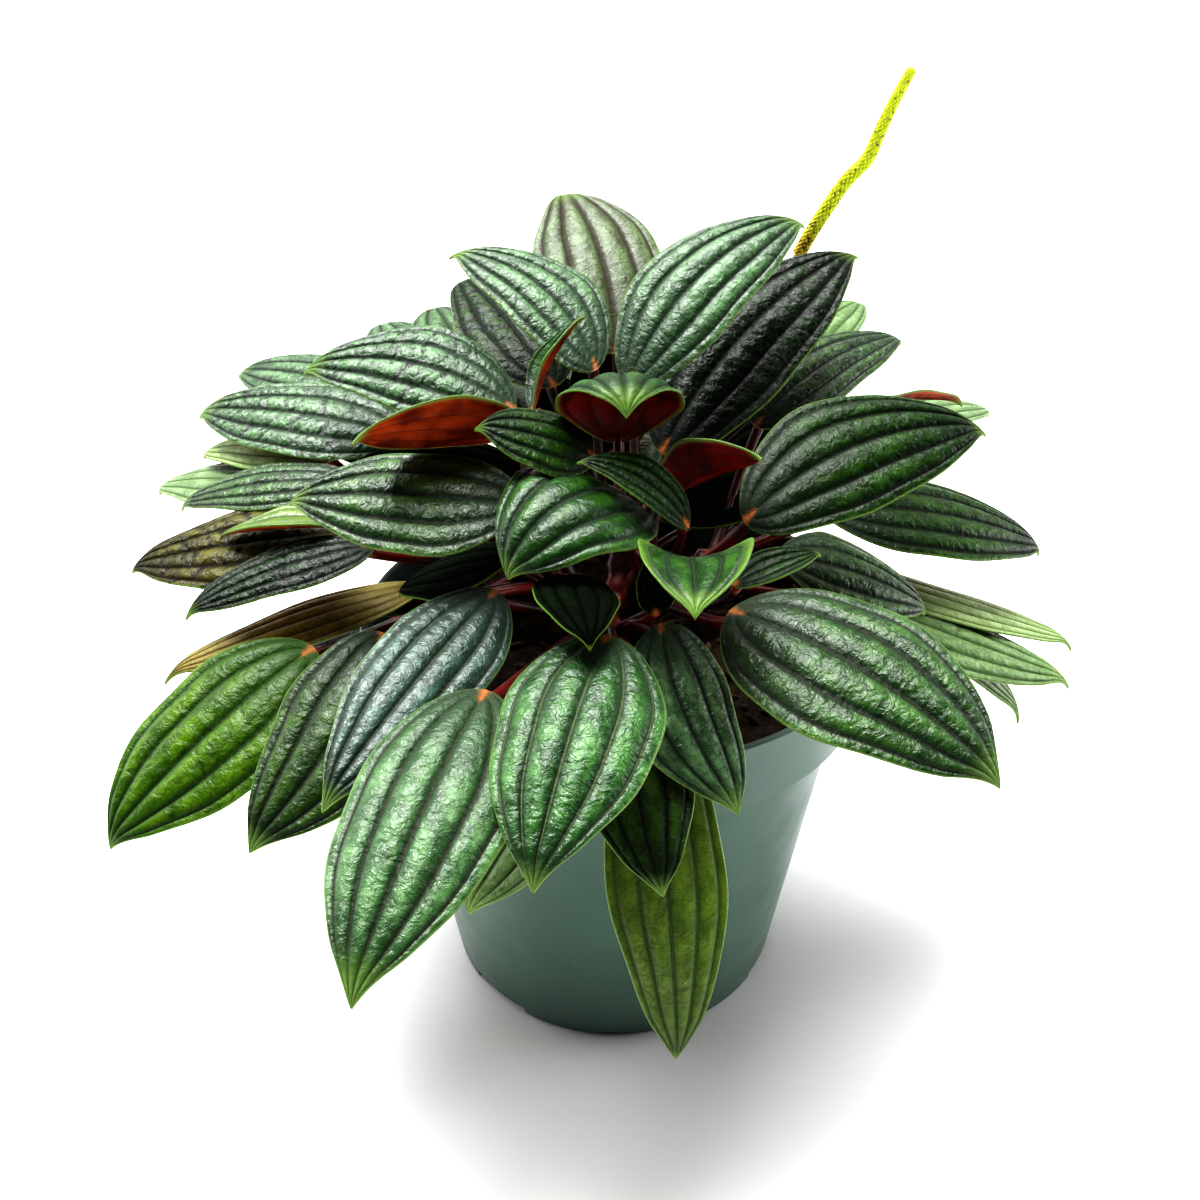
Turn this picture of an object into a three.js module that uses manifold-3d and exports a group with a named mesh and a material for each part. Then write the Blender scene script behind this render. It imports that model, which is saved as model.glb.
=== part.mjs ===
// A ripple peperomia growing in a round nursery pot: the pot, its soil, one clump of
// stems with their petioles, a flower spike, and each leaf blade as its own solid.
// Millimetres, +Z up. The origin is the middle of the pot's underside.
import * as THREE from "three";
import { mergeVertices } from "three/addons/utils/BufferGeometryUtils.js";
import Module from "manifold-3d";

// ---- Driving dimensions, mm ----
const GAP = 0.3; // kept between pieces that touch

const POT_HEIGHT = 89;
const POT_RIM_RADIUS = 54;
const POT_BASE_RADIUS = 38.5;
const POT_WALL = 1.5;
const COLLAR_HEIGHT = 15; // the band below the rim
const COLLAR_STEP = 3.9; // how far the band stands out from the wall
const POT_EDGE = 0.9; // size of the small bevels on the pot's edges
const POT_SIDES = 36;
const DRAIN_AZIMUTHS = [107, 227, 337]; // degrees, anticlockwise from +X
const DRAIN_WIDTH = 16;
const DRAIN_HEIGHT = 2.4;
const DRAIN_DEPTH = 11; // how far each notch runs in under the base

const SOIL_EDGE_HEIGHT = 79.5;
const SOIL_MOUND = 2; // rise from the edge to the middle
const SOIL_LUMP = 0.9;
const SOIL_RINGS = 5;
const SOIL_SIDES = 24;

const CROWN_RADIUS = 8;
const CROWN_TOP = 90;
const CROWN_SUNK = 14; // length of the crown's foot in its hole
const CROWN_SIDES = 16;
const STEM_RADIUS = 3.2;
const STEM_SIDES = 8;
const STEM_STEPS = 5;
const PETIOLE_RADIUS = 1.25;
const YOUNG_PETIOLE_RADIUS = 0.95;
const PETIOLE_SIDES = 5;
const PETIOLE_STEPS = 4;
const FIRST_PETIOLE = 0.3; // where the lowest petiole leaves its stem, of the stem's curve
const LAST_PETIOLE = 0.97;
const PETIOLE_BOW = 0.3; // reach of the curve's handles, of its span
const HANGING_PITCH = 25; // degrees below level at which a petiole lies along its blade

const STALK_RADIUS = 0.95;
const STALK_STEPS = 14;
const SPIKE_RADIUS = 1.6;
const SPIKE_BUMP = 0.2; // height of the tiny flowers above and below that radius
const SPIKE_TAPER = 0.35; // share of the radius lost by the tip
const SPIKE_SIDES = 8;
const SPIKE_RINGS = 20;

const BLADE_THICKNESS = 0.7;
const BLADE_WIDEST = 0.425; // of the length, from the base
const BLADE_BASE_POWER = 0.6; // the smaller, the rounder the outline's base
const BLADE_TIP_POWER = 0.92; // the smaller, the blunter its tip
const BLADE_INSET = 0.05; // the petiole joins this share of the length in from the edge
const RIDGE_HEIGHT = 0.036; // rise of the ridges between veins, of the width
const TIP_HOOK = 0.03; // fall of the tip, of the length
const TIP_HOOK_START = 0.86;

// Across a blade: places from the midrib (0) to the edge (1), and how high each stands on
// the ridges between the sunken veins (1) or in a vein (0).
const WIDE_SECTION = [[0, 0], [0.22, 1], [0.47, 0], [0.66, 0.9], [0.85, 0.1], [1, 0.3]];
const SMALL_SECTION = [[0, 0], [0.3, 1], [0.62, 0.1], [1, 0.7]];
// Along a blade, as shares of its length.
const LONG_ROWS = [0, 0.04, 0.18, 0.4, 0.64, 0.86, 1];
const SHORT_ROWS = [0, 0.06, 0.28, 0.52, 0.8, 1];
const LONG_LEAF = 49.5; // longer blades have the longer list of rows

const COLOURS = {
  pot: 0x3f5a53,
  soil: 0x1d1712,
  stems: 0x8c2f22,
  spike: 0xb5c41e,
  leaf: 0x2c4a2e,
  young: 0x4a7a2c,
};

// The tip of each short stem of the clump.
const STEM_TIPS = [
  [7, -8, 107],
  [-15, 4, 101],
  [2, 17, 103],
  [21, 5, 99],
  [-2, -21, 97],
];

// The flower spike: its stalk up to the first flowers, then the spike itself.
const STALK_POINTS = [[2, 16, 101], [14, 36, 112], [30, 54, 128], [39, 61, 141], [42, 62, 147.6]];
const SPIKE_POINTS = [
  [42.3, 62, 148], [44.5, 61, 153], [47, 60, 158], [51, 59, 165],
  [55, 58, 170], [57, 57, 176], [59, 56, 182], [62, 55, 189],
];

// Full-grown leaves: name, where the petiole meets the blade (x, y, z), the blade's heading,
// pitch and roll in degrees, its length and width, its arch in degrees from base to tip, its
// cup (below 0 the sides fall away, above 0 they rise) and its bow, by which the midrib
// swings out to its left half way along, as a share of the length.
const LEAVES = [
  ["front_1", -22, -62, 109, -107, -19, -4, 53, 26, 30, -0.15, 0],
  ["front_2", -2, -54, 115, -104, -20, 0, 46, 26, 38, -0.2, 0],
  ["front_3", -23, -33, 111, -118, -14, -16, 51, 21, 18, -0.12, 0],
  ["front_4", -45, -28, 98, -119, -27, -10, 46, 26, 26, -0.1, 0.09],
  ["front_5", 8, -38, 107, -63, -34, 4, 36, 20, 30, -0.1, -0.09],
  ["front_6", 5, -46, 99, -84, -35, 0, 36, 20, 28, -0.1, -0.08],
  ["front_7", 7, -52, 93, -82, -58, 0, 57, 21, 20, -0.05, 0],
  ["front_8", -6, -49, 98, -130, -40, 0, 41, 22, 28, -0.05, 0.06],
  ["front_9", 22, -40, 112, -41, -11, 18, 53, 30, 32, -0.12, 0.02],
  ["left_1", -60, -28, 95, -138, -27, -16, 50, 29, 26, -0.1, 0],
  ["left_2", -42, -8, 98, -164, -13, -4, 53, 15, 10, -0.1, 0],
  ["left_3", -56, 2, 106, -174, -7, -14, 47, 25, 25, -0.1, 0.04],
  ["left_4", -50, -10, 109, -162, -14, -14, 38, 14, 18, -0.1, -0.03],
  ["left_5", -19, -23, 125, 175, -1, -20, 43, 26, 14, -0.12, 0],
  ["left_6", -21, -5, 132, -142, 12, 50, 34, 18, 16, 0.1, 0],
  ["left_7", -23, 16, 129, 167, 5, -24, 47, 25, 25, -0.1, -0.09],
  ["left_8", -48, 25, 118, 160, -2, -22, 55, 24, 25, -0.1, 0],
  ["left_9", -53, 42, 120, 148, -4, -20, 52, 20, 25, -0.1, 0],
  ["left_10", -64, 25, 113, 154, -10, -15, 40, 15, 25, -0.1, 0],
  ["left_11", -72, 20, 107, 150, -13, -15, 48, 16, 25, -0.1, 0],
  ["left_12", -58, 12, 113, 170, -13, -16, 42, 15, 25, -0.1, 0],
  ["left_13", -21, -20, 112, 166, -24, -2, 26, 20, 20, -0.1, 0],
  ["back_1", -5, 20, 137, 141, 21, -14, 45, 22, 25, -0.1, -0.12],
  ["back_2", 0, 40, 134, 106, 25, -4, 56, 31, 30, -0.1, -0.04],
  ["back_3", -15, 36, 127, 119, 12, -10, 52, 24, 25, -0.1, 0],
  ["back_4", -34, 50, 123, 110, 6, -4, 42, 22, 25, -0.1, 0],
  ["back_5", -42, 52, 121, 116, 0, -4, 48, 22, 25, -0.1, 0],
  ["right_1", 3, 12, 137, 40, 26, 18, 56, 24, 42, -0.12, 0.06],
  ["right_2", 11, 18, 120, 40, 29, 16, 66, 30, 25, -0.1, 0.05],
  ["right_3", 32, 28, 121, 43, 8, 16, 53, 19, 28, -0.1, 0.04],
  ["right_4", 39, 50, 127, 56, 4, 5, 44, 18, 20, -0.1, 0],
  ["right_5", 52, 38, 119, 24, -4, -24, 34, 18, 20, 0.1, 0],
  ["right_6", 61, 44, 113, 36, -8, 4, 44, 18, 25, -0.1, 0],
  ["right_7", 26, -16, 120, 22, 10, 26, 54, 27, 30, -0.1, 0.08],
  ["right_8", 46, 10, 108, 12, -16, 16, 56, 26, 30, -0.1, 0],
  ["right_9", 34, -10, 107, 0, -22, 10, 33, 24, 30, -0.1, 0],
  ["right_10", 51, 6, 95, 3, -20, 2, 57, 15, 8, -0.1, -0.04],
  ["right_11", 47, -1, 94, -5, -20, 4, 56, 22, 8, -0.1, -0.05],
  ["right_12", 47, 18, 96, -17, -37, 0, 63, 20, 15, -0.1, 0],
];

// Young leaves of the middle, smaller, with a lighter edge, in the same columns.
const YOUNG_LEAVES = [
  ["young_1", 3, -22, 125, -138, -9, -12, 35, 28, 100, -0.2, -0.05],
  ["young_2", -5, -16, 132, -171, 18, -20, 22, 17, 20, -0.1, 0],
  ["young_3", -17, 6, 132, 52, 45, -30, 22, 6, 10, 0.8, 0.1],
  ["young_4", 0, -5, 131, -86, 31, 0, 33, 24, 130, -0.3, 0],
  ["young_5", 9, -12, 123, -34, 31, -50, 24, 12, 20, 0.5, 0],
  ["young_6", 12, -32, 126, 158, 22, -20, 23, 9, 40, 0.2, -0.08],
  ["young_7", 7, -38, 111, 95, 66, 0, 11, 7, 20, 0.2, 0],
  ["young_8", 13, -36, 121, -92, 10, 0, 26, 19, 30, 0.45, 0],
  ["young_9", 22, -29, 112, 22, 10, 10, 18, 8, 20, 0.2, 0],
  ["young_10", -9, -37, 118, -79, 4, -4, 26, 14, 30, -0.1, 0],
  ["young_11", -57, -4, 111, 177, -7, 10, 25, 12, 15, 0.3, 0],
];

// A lower ring of hanging leaves closes the far side of the clump.
const LOW_LEAVES = {
  count: 6,
  firstHeading: 55,
  step: 12,
  reach: 46, // from the middle of the pot to the petiole's end
  uneven: 6, // added to the reach by chance
  height: 101,
  stagger: 13, // every second one sits this much higher
  pitch: -3,
  droop: 6, // taken from the pitch by chance
  length: 48,
  width: 25,
  arch: 30,
  cup: -0.1,
  bow: 0,
};

const DEGREE = Math.PI / 180;
const wasm = await Module();
wasm.setup();

const point = ([x, y, z]) => new THREE.Vector3(x, y, z);

// A repeatable number from 0 to 1 for each whole number.
function scatter(index) {
  const wave = Math.sin(index * 12.9898 + 4.1414) * 43758.5453;
  return wave - Math.floor(wave);
}

// A closed mesh from its corners and faces: equal corners are merged, empty faces dropped.
function solidGeometry(corners, faces) {
  const loose = new THREE.BufferGeometry();
  loose.setAttribute("position", new THREE.Float32BufferAttribute(corners.flat(), 3));
  loose.setIndex(faces.flat());
  return withoutEmptyFaces(mergeVertices(loose, 1e-4));
}

function withoutEmptyFaces(geometry) {
  const old = geometry.index.array;
  const kept = [];
  for (let i = 0; i < old.length; i += 3) {
    const [a, b, c] = [old[i], old[i + 1], old[i + 2]];
    if (a !== b && b !== c && c !== a) kept.push(a, b, c);
  }
  geometry.setIndex(kept);
  return geometry;
}

// ---- Joining and cutting ----
function toManifold(geometry) {
  const bare = geometry.clone();
  bare.deleteAttribute("normal");
  bare.deleteAttribute("uv");
  const merged = mergeVertices(bare, 1e-4);
  return new wasm.Manifold(
    new wasm.Mesh({
      numProp: 3,
      vertProperties: merged.attributes.position.array,
      triVerts: new Uint32Array(merged.index.array),
    }),
  );
}

// The largest body of a solid, without the loose scraps that joining can leave.
function fromManifold(solid) {
  const bodies = solid.decompose().sort((a, b) => b.volume() - a.volume());
  const mesh = bodies[0].getMesh();
  const geometry = new THREE.BufferGeometry();
  geometry.setAttribute("position", new THREE.BufferAttribute(mesh.vertProperties, 3));
  geometry.setIndex(new THREE.BufferAttribute(mesh.triVerts, 1));
  return geometry;
}

// ---- Pot ----
function lathe(profile, sides) {
  const points = profile.map(([r, z]) => new THREE.Vector2(r, z));
  const turned = new THREE.LatheGeometry(points, sides);
  turned.rotateX(Math.PI / 2); // the lathe turns about Y; the pot stands along Z
  return turned;
}

const collarBottom = POT_HEIGHT - COLLAR_HEIGHT;
const wallTopRadius = POT_RIM_RADIUS - COLLAR_STEP - POT_EDGE;
const shelf = collarBottom + 2 * POT_WALL; // where the collar's inside steps in to the wall

// Radius of the outside of the wall below the collar.
function wallRadius(z) {
  return THREE.MathUtils.lerp(POT_BASE_RADIUS, wallTopRadius, z / collarBottom);
}

function potGeometry() {
  const rim = POT_RIM_RADIUS;
  const inside = rim - POT_WALL;
  const shell = lathe(
    [
      [0, 0],
      [POT_BASE_RADIUS - POT_EDGE, 0],
      [wallRadius(POT_EDGE), POT_EDGE],
      [wallTopRadius, collarBottom],
      [rim - POT_EDGE, collarBottom],
      [rim - POT_EDGE / 2, collarBottom + POT_EDGE],
      [rim, POT_HEIGHT - POT_EDGE],
      [rim - POT_EDGE / 2, POT_HEIGHT],
      [inside, POT_HEIGHT],
      [inside - POT_EDGE / 2, shelf],
      [wallTopRadius - POT_WALL, collarBottom],
      [wallRadius(POT_WALL) - POT_WALL, POT_WALL],
      [0, POT_WALL],
    ],
    POT_SIDES,
  );
  let pot = toManifold(shell);
  for (const azimuth of DRAIN_AZIMUTHS) {
    const notch = new THREE.BoxGeometry(2 * DRAIN_DEPTH, DRAIN_WIDTH, 2 * DRAIN_HEIGHT);
    notch.translate(POT_BASE_RADIUS, 0, 0);
    notch.rotateZ(azimuth * DEGREE);
    pot = pot.subtract(toManifold(notch));
  }
  return fromManifold(pot);
}

// ---- Soil ----
// The lumpy top of the soil, mounded towards the crown.
function soilHeight(x, y) {
  const share = Math.hypot(x, y) / POT_RIM_RADIUS;
  const small = Math.sin(x * 0.55 + 1.3) * Math.cos(y * 0.47);
  const broad = 0.6 * Math.sin(x * 0.21 - y * 0.38);
  return SOIL_EDGE_HEIGHT + SOIL_MOUND * (1 - share ** 2) + SOIL_LUMP * (small + broad);
}

function soilGeometry() {
  const edge = POT_RIM_RADIUS - POT_WALL - POT_EDGE - GAP;
  const wallEdge = wallTopRadius - POT_WALL - GAP;
  const rings = [];
  for (let ring = 1; ring <= SOIL_RINGS; ring++) rings.push([(edge * ring) / SOIL_RINGS, null]);
  rings.push([edge - GAP, shelf + GAP]);
  rings.push([wallEdge - GAP, collarBottom - GAP]);
  rings.push([wallRadius(POT_WALL + GAP) - POT_WALL - 2 * GAP, POT_WALL + GAP]);
  const corners = [[0, 0, soilHeight(0, 0)]];
  for (const [radius, level] of rings) {
    for (let side = 0; side < SOIL_SIDES; side++) {
      const angle = (side / SOIL_SIDES) * 2 * Math.PI;
      const [x, y] = [radius * Math.cos(angle), radius * Math.sin(angle)];
      corners.push([x, y, level ?? soilHeight(x, y)]);
    }
  }
  corners.push([0, 0, POT_WALL + GAP]);
  const faces = [];
  const last = corners.length - 1;
  for (let side = 0; side < SOIL_SIDES; side++) {
    const next = (side + 1) % SOIL_SIDES;
    faces.push([0, 1 + side, 1 + next]);
    for (let ring = 0; ring < rings.length - 1; ring++) {
      const [inner, outer] = [1 + ring * SOIL_SIDES, 1 + (ring + 1) * SOIL_SIDES];
      faces.push([inner + side, outer + side, outer + next]);
      faces.push([inner + side, outer + next, inner + next]);
    }
    const bottom = 1 + (rings.length - 1) * SOIL_SIDES;
    faces.push([bottom + side, last, bottom + next]);
  }
  const hole = new THREE.CylinderGeometry(
    CROWN_RADIUS + 2 * GAP, CROWN_RADIUS + 2 * GAP, 2 * CROWN_SUNK + 2 * GAP, CROWN_SIDES,
  );
  hole.rotateX(Math.PI / 2);
  hole.translate(0, 0, SOIL_EDGE_HEIGHT + SOIL_MOUND);
  return fromManifold(toManifold(solidGeometry(corners, faces)).subtract(toManifold(hole)));
}

// ---- Leaf blades ----
function outline(t) {
  const base = (t / BLADE_WIDEST) ** BLADE_BASE_POWER;
  const tip = ((1 - t) / (1 - BLADE_WIDEST)) ** BLADE_TIP_POWER;
  return base * tip;
}

// The blade's own axes: along it, to its left and up out of its face.
function bladeAxes({ heading, pitch, roll }) {
  const [az, el] = [heading * DEGREE, pitch * DEGREE];
  const ahead = new THREE.Vector3(Math.cos(az), Math.sin(az), 0);
  const along = ahead.clone().multiplyScalar(Math.cos(el));
  along.z = Math.sin(el);
  const left = new THREE.Vector3(-Math.sin(az), Math.cos(az), 0);
  left.applyAxisAngle(along, roll * DEGREE);
  const up = new THREE.Vector3().crossVectors(along, left);
  return { along, left, up };
}

// The midrib is an arc whose slope falls by the arch from base to tip. Behind the petiole
// the blade runs on straight.
function midrib(leaf, distance) {
  const half = (leaf.arch * DEGREE) / 2;
  const bend = half - (2 * half * Math.max(distance, 0)) / leaf.length;
  const radius = leaf.length / (2 * half);
  const behind = Math.min(distance, 0);
  return {
    forward: radius * (Math.sin(half) - Math.sin(bend)) + behind * Math.cos(half),
    rise: radius * (Math.cos(bend) - Math.cos(half)) + behind * Math.sin(half),
    bend,
  };
}

function bladeGeometry(leaf) {
  const { along, left, up } = bladeAxes(leaf);
  const half = leaf.small ? SMALL_SECTION : WIDE_SECTION;
  const rows = leaf.length > LONG_LEAF ? LONG_ROWS : SHORT_ROWS;
  const mirrored = half.slice(1).reverse().map(([place, height]) => [-place, height]);
  const section = [...mirrored, ...half];
  const faces = [];
  const [upper, lower] = [[], []];
  for (const t of rows) {
    for (const [place, height] of section) {
      const across = place * (leaf.width / 2) * outline(t);
      const share = t - BLADE_INSET * Math.abs(place) * (1 - t) ** 3;
      const swing = leaf.bow * leaf.length * 4 * share * (1 - share);
      const { forward, rise, bend } = midrib(leaf, share * leaf.length);
      const hook = Math.max(0, (t - TIP_HOOK_START) / (1 - TIP_HOOK_START)) ** 2;
      const lift =
        (leaf.cup * across ** 2) / (leaf.width / 2) +
        RIDGE_HEIGHT * leaf.width * height * Math.sin(Math.PI * t) ** 0.6 -
        TIP_HOOK * leaf.length * hook;
      const out = up.clone().multiplyScalar(Math.cos(bend)).addScaledVector(along, -Math.sin(bend));
      const top = leaf.base
        .clone()
        .addScaledVector(along, forward)
        .addScaledVector(up, rise)
        .addScaledVector(left, across + swing)
        .addScaledVector(out, lift);
      upper.push(top.toArray());
      lower.push(top.addScaledVector(out, -BLADE_THICKNESS).toArray());
    }
  }
  const count = section.length;
  const below = upper.length;
  for (let row = 0; row < rows.length - 1; row++) {
    const [here, next] = [row * count, (row + 1) * count];
    for (let column = 0; column < count - 1; column++) {
      const [a, b] = [here + column, here + column + 1];
      const [d, c] = [next + column, next + column + 1];
      // Each half is the mirror of the other, so no face at the base lies along the midrib.
      const halves = column < half.length - 1 ? [[b, a, d], [b, d, c]] : [[a, d, c], [a, c, b]];
      for (const [first, second, third] of halves) {
        faces.push([first, second, third], [below + first, below + third, below + second]);
      }
    }
    const end = count - 1;
    faces.push([here, below + here, below + next], [here, below + next, next]);
    faces.push([here + end, below + next + end, below + here + end]);
    faces.push([here + end, next + end, below + next + end]);
  }
  return solidGeometry([...upper, ...lower], faces);
}

// ---- Stems and petioles ----
function tube(curve, radius, sides, steps) {
  const ring = new THREE.Shape();
  for (let side = 0; side < sides; side++) {
    const angle = (side / sides) * 2 * Math.PI;
    const [x, y] = [radius * Math.cos(angle), radius * Math.sin(angle)];
    if (side === 0) ring.moveTo(x, y);
    else ring.lineTo(x, y);
  }
  ring.closePath();
  return new THREE.ExtrudeGeometry(ring, { extrudePath: curve, steps, bevelEnabled: false });
}

// The curve of a short stem from the crown to its tip.
function stemCurve(tip) {
  const foot = point([tip[0] * 0.15, tip[1] * 0.15, CROWN_TOP - 4]);
  const knee = point([tip[0] * 0.7, tip[1] * 0.7, CROWN_TOP + 2]);
  return new THREE.QuadraticBezierCurve3(foot, knee, point(tip));
}

// Each leaf grows on the stem that stands closest to the line out to it. The leaves of a
// stem leave it one above the other, the lowest leaf first, each on the side it grows to.
function rootPetioles(leaves) {
  const groups = STEM_TIPS.map(() => []);
  for (const leaf of leaves) {
    const apart = ([x, y]) => Math.hypot(x - leaf.base.x * 0.5, y - leaf.base.y * 0.5);
    const distances = STEM_TIPS.map(apart);
    groups[distances.indexOf(Math.min(...distances))].push(leaf);
  }
  groups.forEach((group, index) => {
    const stem = stemCurve(STEM_TIPS[index]);
    group.sort((a, b) => a.base.z - b.base.z);
    group.forEach((leaf, rank) => {
      const share = THREE.MathUtils.lerp(FIRST_PETIOLE, LAST_PETIOLE, (rank + 0.5) / group.length);
      const root = stem.getPoint(share);
      const side = leaf.base.clone().sub(root).setZ(0).setLength(STEM_RADIUS / 2);
      leaf.root = root.add(side);
    });
  });
}

// A petiole rises out of its stem and meets the blade from below and behind, and more in
// line with it the more the blade hangs.
function petioleCurve(leaf) {
  const { along, left, up } = bladeAxes(leaf);
  const half = (leaf.arch * DEGREE) / 2;
  const ahead = along.applyAxisAngle(left, -half);
  const under = up.applyAxisAngle(left, -half);
  const hang = THREE.MathUtils.clamp(-leaf.pitch / HANGING_PITCH, 0, 1);
  const arrive = ahead.multiplyScalar(0.6 + 0.3 * hang);
  arrive.addScaledVector(under, 0.8 - 0.4 * hang).normalize();
  const radius = leaf.small ? YOUNG_PETIOLE_RADIUS : PETIOLE_RADIUS;
  const drop = BLADE_THICKNESS + GAP + radius * Math.sqrt(1 - arrive.dot(under) ** 2);
  const end = leaf.base.clone().addScaledVector(under, -drop);
  const { root } = leaf;
  const reach = root.distanceTo(end);
  const start = end.clone().sub(root).setZ(0).normalize();
  start.setZ(1).normalize();
  return new THREE.CubicBezierCurve3(
    root,
    root.clone().addScaledVector(start, PETIOLE_BOW * reach),
    end.clone().addScaledVector(arrive, -PETIOLE_BOW * reach),
    end,
  );
}

function stemsGeometry(leaves) {
  const crown = lathe(
    [
      [0, SOIL_EDGE_HEIGHT + SOIL_MOUND - CROWN_SUNK],
      [CROWN_RADIUS, SOIL_EDGE_HEIGHT + SOIL_MOUND - CROWN_SUNK],
      [CROWN_RADIUS, CROWN_TOP - 3],
      [CROWN_RADIUS * 0.6, CROWN_TOP],
      [0, CROWN_TOP],
    ],
    CROWN_SIDES,
  );
  let clump = toManifold(crown);
  for (const tip of STEM_TIPS) {
    clump = clump.add(toManifold(tube(stemCurve(tip), STEM_RADIUS, STEM_SIDES, STEM_STEPS)));
  }
  for (const leaf of leaves) {
    const radius = leaf.small ? YOUNG_PETIOLE_RADIUS : PETIOLE_RADIUS;
    clump = clump.add(toManifold(tube(petioleCurve(leaf), radius, PETIOLE_SIDES, PETIOLE_STEPS)));
  }
  const stalk = new THREE.CatmullRomCurve3(STALK_POINTS.map(point));
  clump = clump.add(toManifold(tube(stalk, STALK_RADIUS, PETIOLE_SIDES, STALK_STEPS)));
  return fromManifold(clump);
}

// ---- Flower spike ----
// A slim spike packed with tiny flowers: its surface rises and falls from one to the next.
function spikeGeometry() {
  const curve = new THREE.CatmullRomCurve3(SPIKE_POINTS.map(point));
  const frames = curve.computeFrenetFrames(SPIKE_RINGS, false);
  const corners = [curve.getPointAt(0).toArray()];
  const faces = [];
  for (let ring = 0; ring <= SPIKE_RINGS; ring++) {
    const share = ring / SPIKE_RINGS;
    const taper = 1 - SPIKE_TAPER * share ** 3;
    const centre = curve.getPointAt(share);
    for (let side = 0; side < SPIKE_SIDES; side++) {
      const bump = (ring + side) % 2 === 0 ? SPIKE_BUMP : -SPIKE_BUMP;
      const radius = (SPIKE_RADIUS + bump) * taper;
      const angle = (side / SPIKE_SIDES) * 2 * Math.PI;
      const corner = centre
        .clone()
        .addScaledVector(frames.normals[ring], radius * Math.cos(angle))
        .addScaledVector(frames.binormals[ring], radius * Math.sin(angle));
      corners.push(corner.toArray());
    }
  }
  const tip = curve.getPointAt(1).addScaledVector(frames.tangents[SPIKE_RINGS], SPIKE_RADIUS / 2);
  corners.push(tip.toArray());
  const last = corners.length - 1;
  for (let side = 0; side < SPIKE_SIDES; side++) {
    const next = (side + 1) % SPIKE_SIDES;
    faces.push([0, 1 + next, 1 + side]);
    for (let ring = 0; ring < SPIKE_RINGS; ring++) {
      const [here, above] = [1 + ring * SPIKE_SIDES, 1 + (ring + 1) * SPIKE_SIDES];
      faces.push([here + side, here + next, above + next]);
      faces.push([here + side, above + next, above + side]);
    }
    const top = 1 + SPIKE_RINGS * SPIKE_SIDES;
    faces.push([top + side, top + next, last]);
  }
  return solidGeometry(corners, faces);
}

// ---- Assembly ----
function readLeaf([name, x, y, z, ...shape], small) {
  const [heading, pitch, roll, length, width, arch, cup, bow] = shape;
  const placed = { name, base: point([x, y, z]), heading, pitch, roll, small };
  return { ...placed, length, width, arch, cup, bow };
}

function lowLeaves() {
  const { count, firstHeading, step, reach, uneven, height, stagger, pitch, droop } = LOW_LEAVES;
  const { length, width, arch, cup, bow } = LOW_LEAVES;
  const leaves = [];
  for (let index = 0; index < count; index++) {
    const heading = firstHeading + step * index;
    const out = reach + uneven * scatter(index);
    const base = point([out, 0, height + stagger * (index % 2)]);
    base.applyAxisAngle(point([0, 0, 1]), heading * DEGREE);
    const placed = { name: `low_${index + 1}`, base, heading, roll: 0, small: false };
    placed.pitch = pitch - droop * scatter(index + count);
    leaves.push({ ...placed, length, width, arch, cup, bow });
  }
  return leaves;
}

const plant = new THREE.Group();

function addPiece(name, geometry, colour, roughness) {
  const material = new THREE.MeshStandardMaterial({ color: colour, roughness, metalness: 0 });
  const mesh = new THREE.Mesh(geometry, material);
  mesh.name = name;
  plant.add(mesh);
}

const leaves = [
  ...LEAVES.map((row) => readLeaf(row, false)),
  ...YOUNG_LEAVES.map((row) => readLeaf(row, true)),
  ...lowLeaves(),
];

rootPetioles(leaves);

addPiece("pot", potGeometry(), COLOURS.pot, 0.45);
addPiece("soil", soilGeometry(), COLOURS.soil, 0.95);
addPiece("stems", stemsGeometry(leaves), COLOURS.stems, 0.4);
addPiece("flower_spike", spikeGeometry(), COLOURS.spike, 0.5);
for (const leaf of leaves) {
  addPiece(`leaf_${leaf.name}`, bladeGeometry(leaf), leaf.small ? COLOURS.young : COLOURS.leaf, 0.3);
}

export default plant;
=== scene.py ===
"""A ripple peperomia in its nursery pot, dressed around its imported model.

Sizes are millimetres, as in the part's own source, and MM turns them into metres as the
meshes are made. The pot stands on z = 0, its axis is +Z, and the plant's front faces -Y.
"""
import math

import bmesh
import bpy
import numpy as np
from mathutils import Matrix, Quaternion, Vector


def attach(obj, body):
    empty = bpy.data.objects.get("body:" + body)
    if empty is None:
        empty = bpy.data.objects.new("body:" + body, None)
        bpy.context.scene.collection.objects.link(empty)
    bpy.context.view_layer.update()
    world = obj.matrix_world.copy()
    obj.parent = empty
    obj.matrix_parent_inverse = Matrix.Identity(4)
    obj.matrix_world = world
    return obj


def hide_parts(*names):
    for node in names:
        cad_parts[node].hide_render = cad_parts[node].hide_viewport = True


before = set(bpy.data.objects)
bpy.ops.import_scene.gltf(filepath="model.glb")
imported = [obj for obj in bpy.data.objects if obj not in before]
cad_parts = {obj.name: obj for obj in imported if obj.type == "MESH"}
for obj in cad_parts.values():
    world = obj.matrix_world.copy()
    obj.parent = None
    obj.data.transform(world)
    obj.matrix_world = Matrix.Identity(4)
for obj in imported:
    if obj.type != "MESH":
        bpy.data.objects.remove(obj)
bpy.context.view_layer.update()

MM = 0.001
UP = Vector((0, 0, 1))

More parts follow.
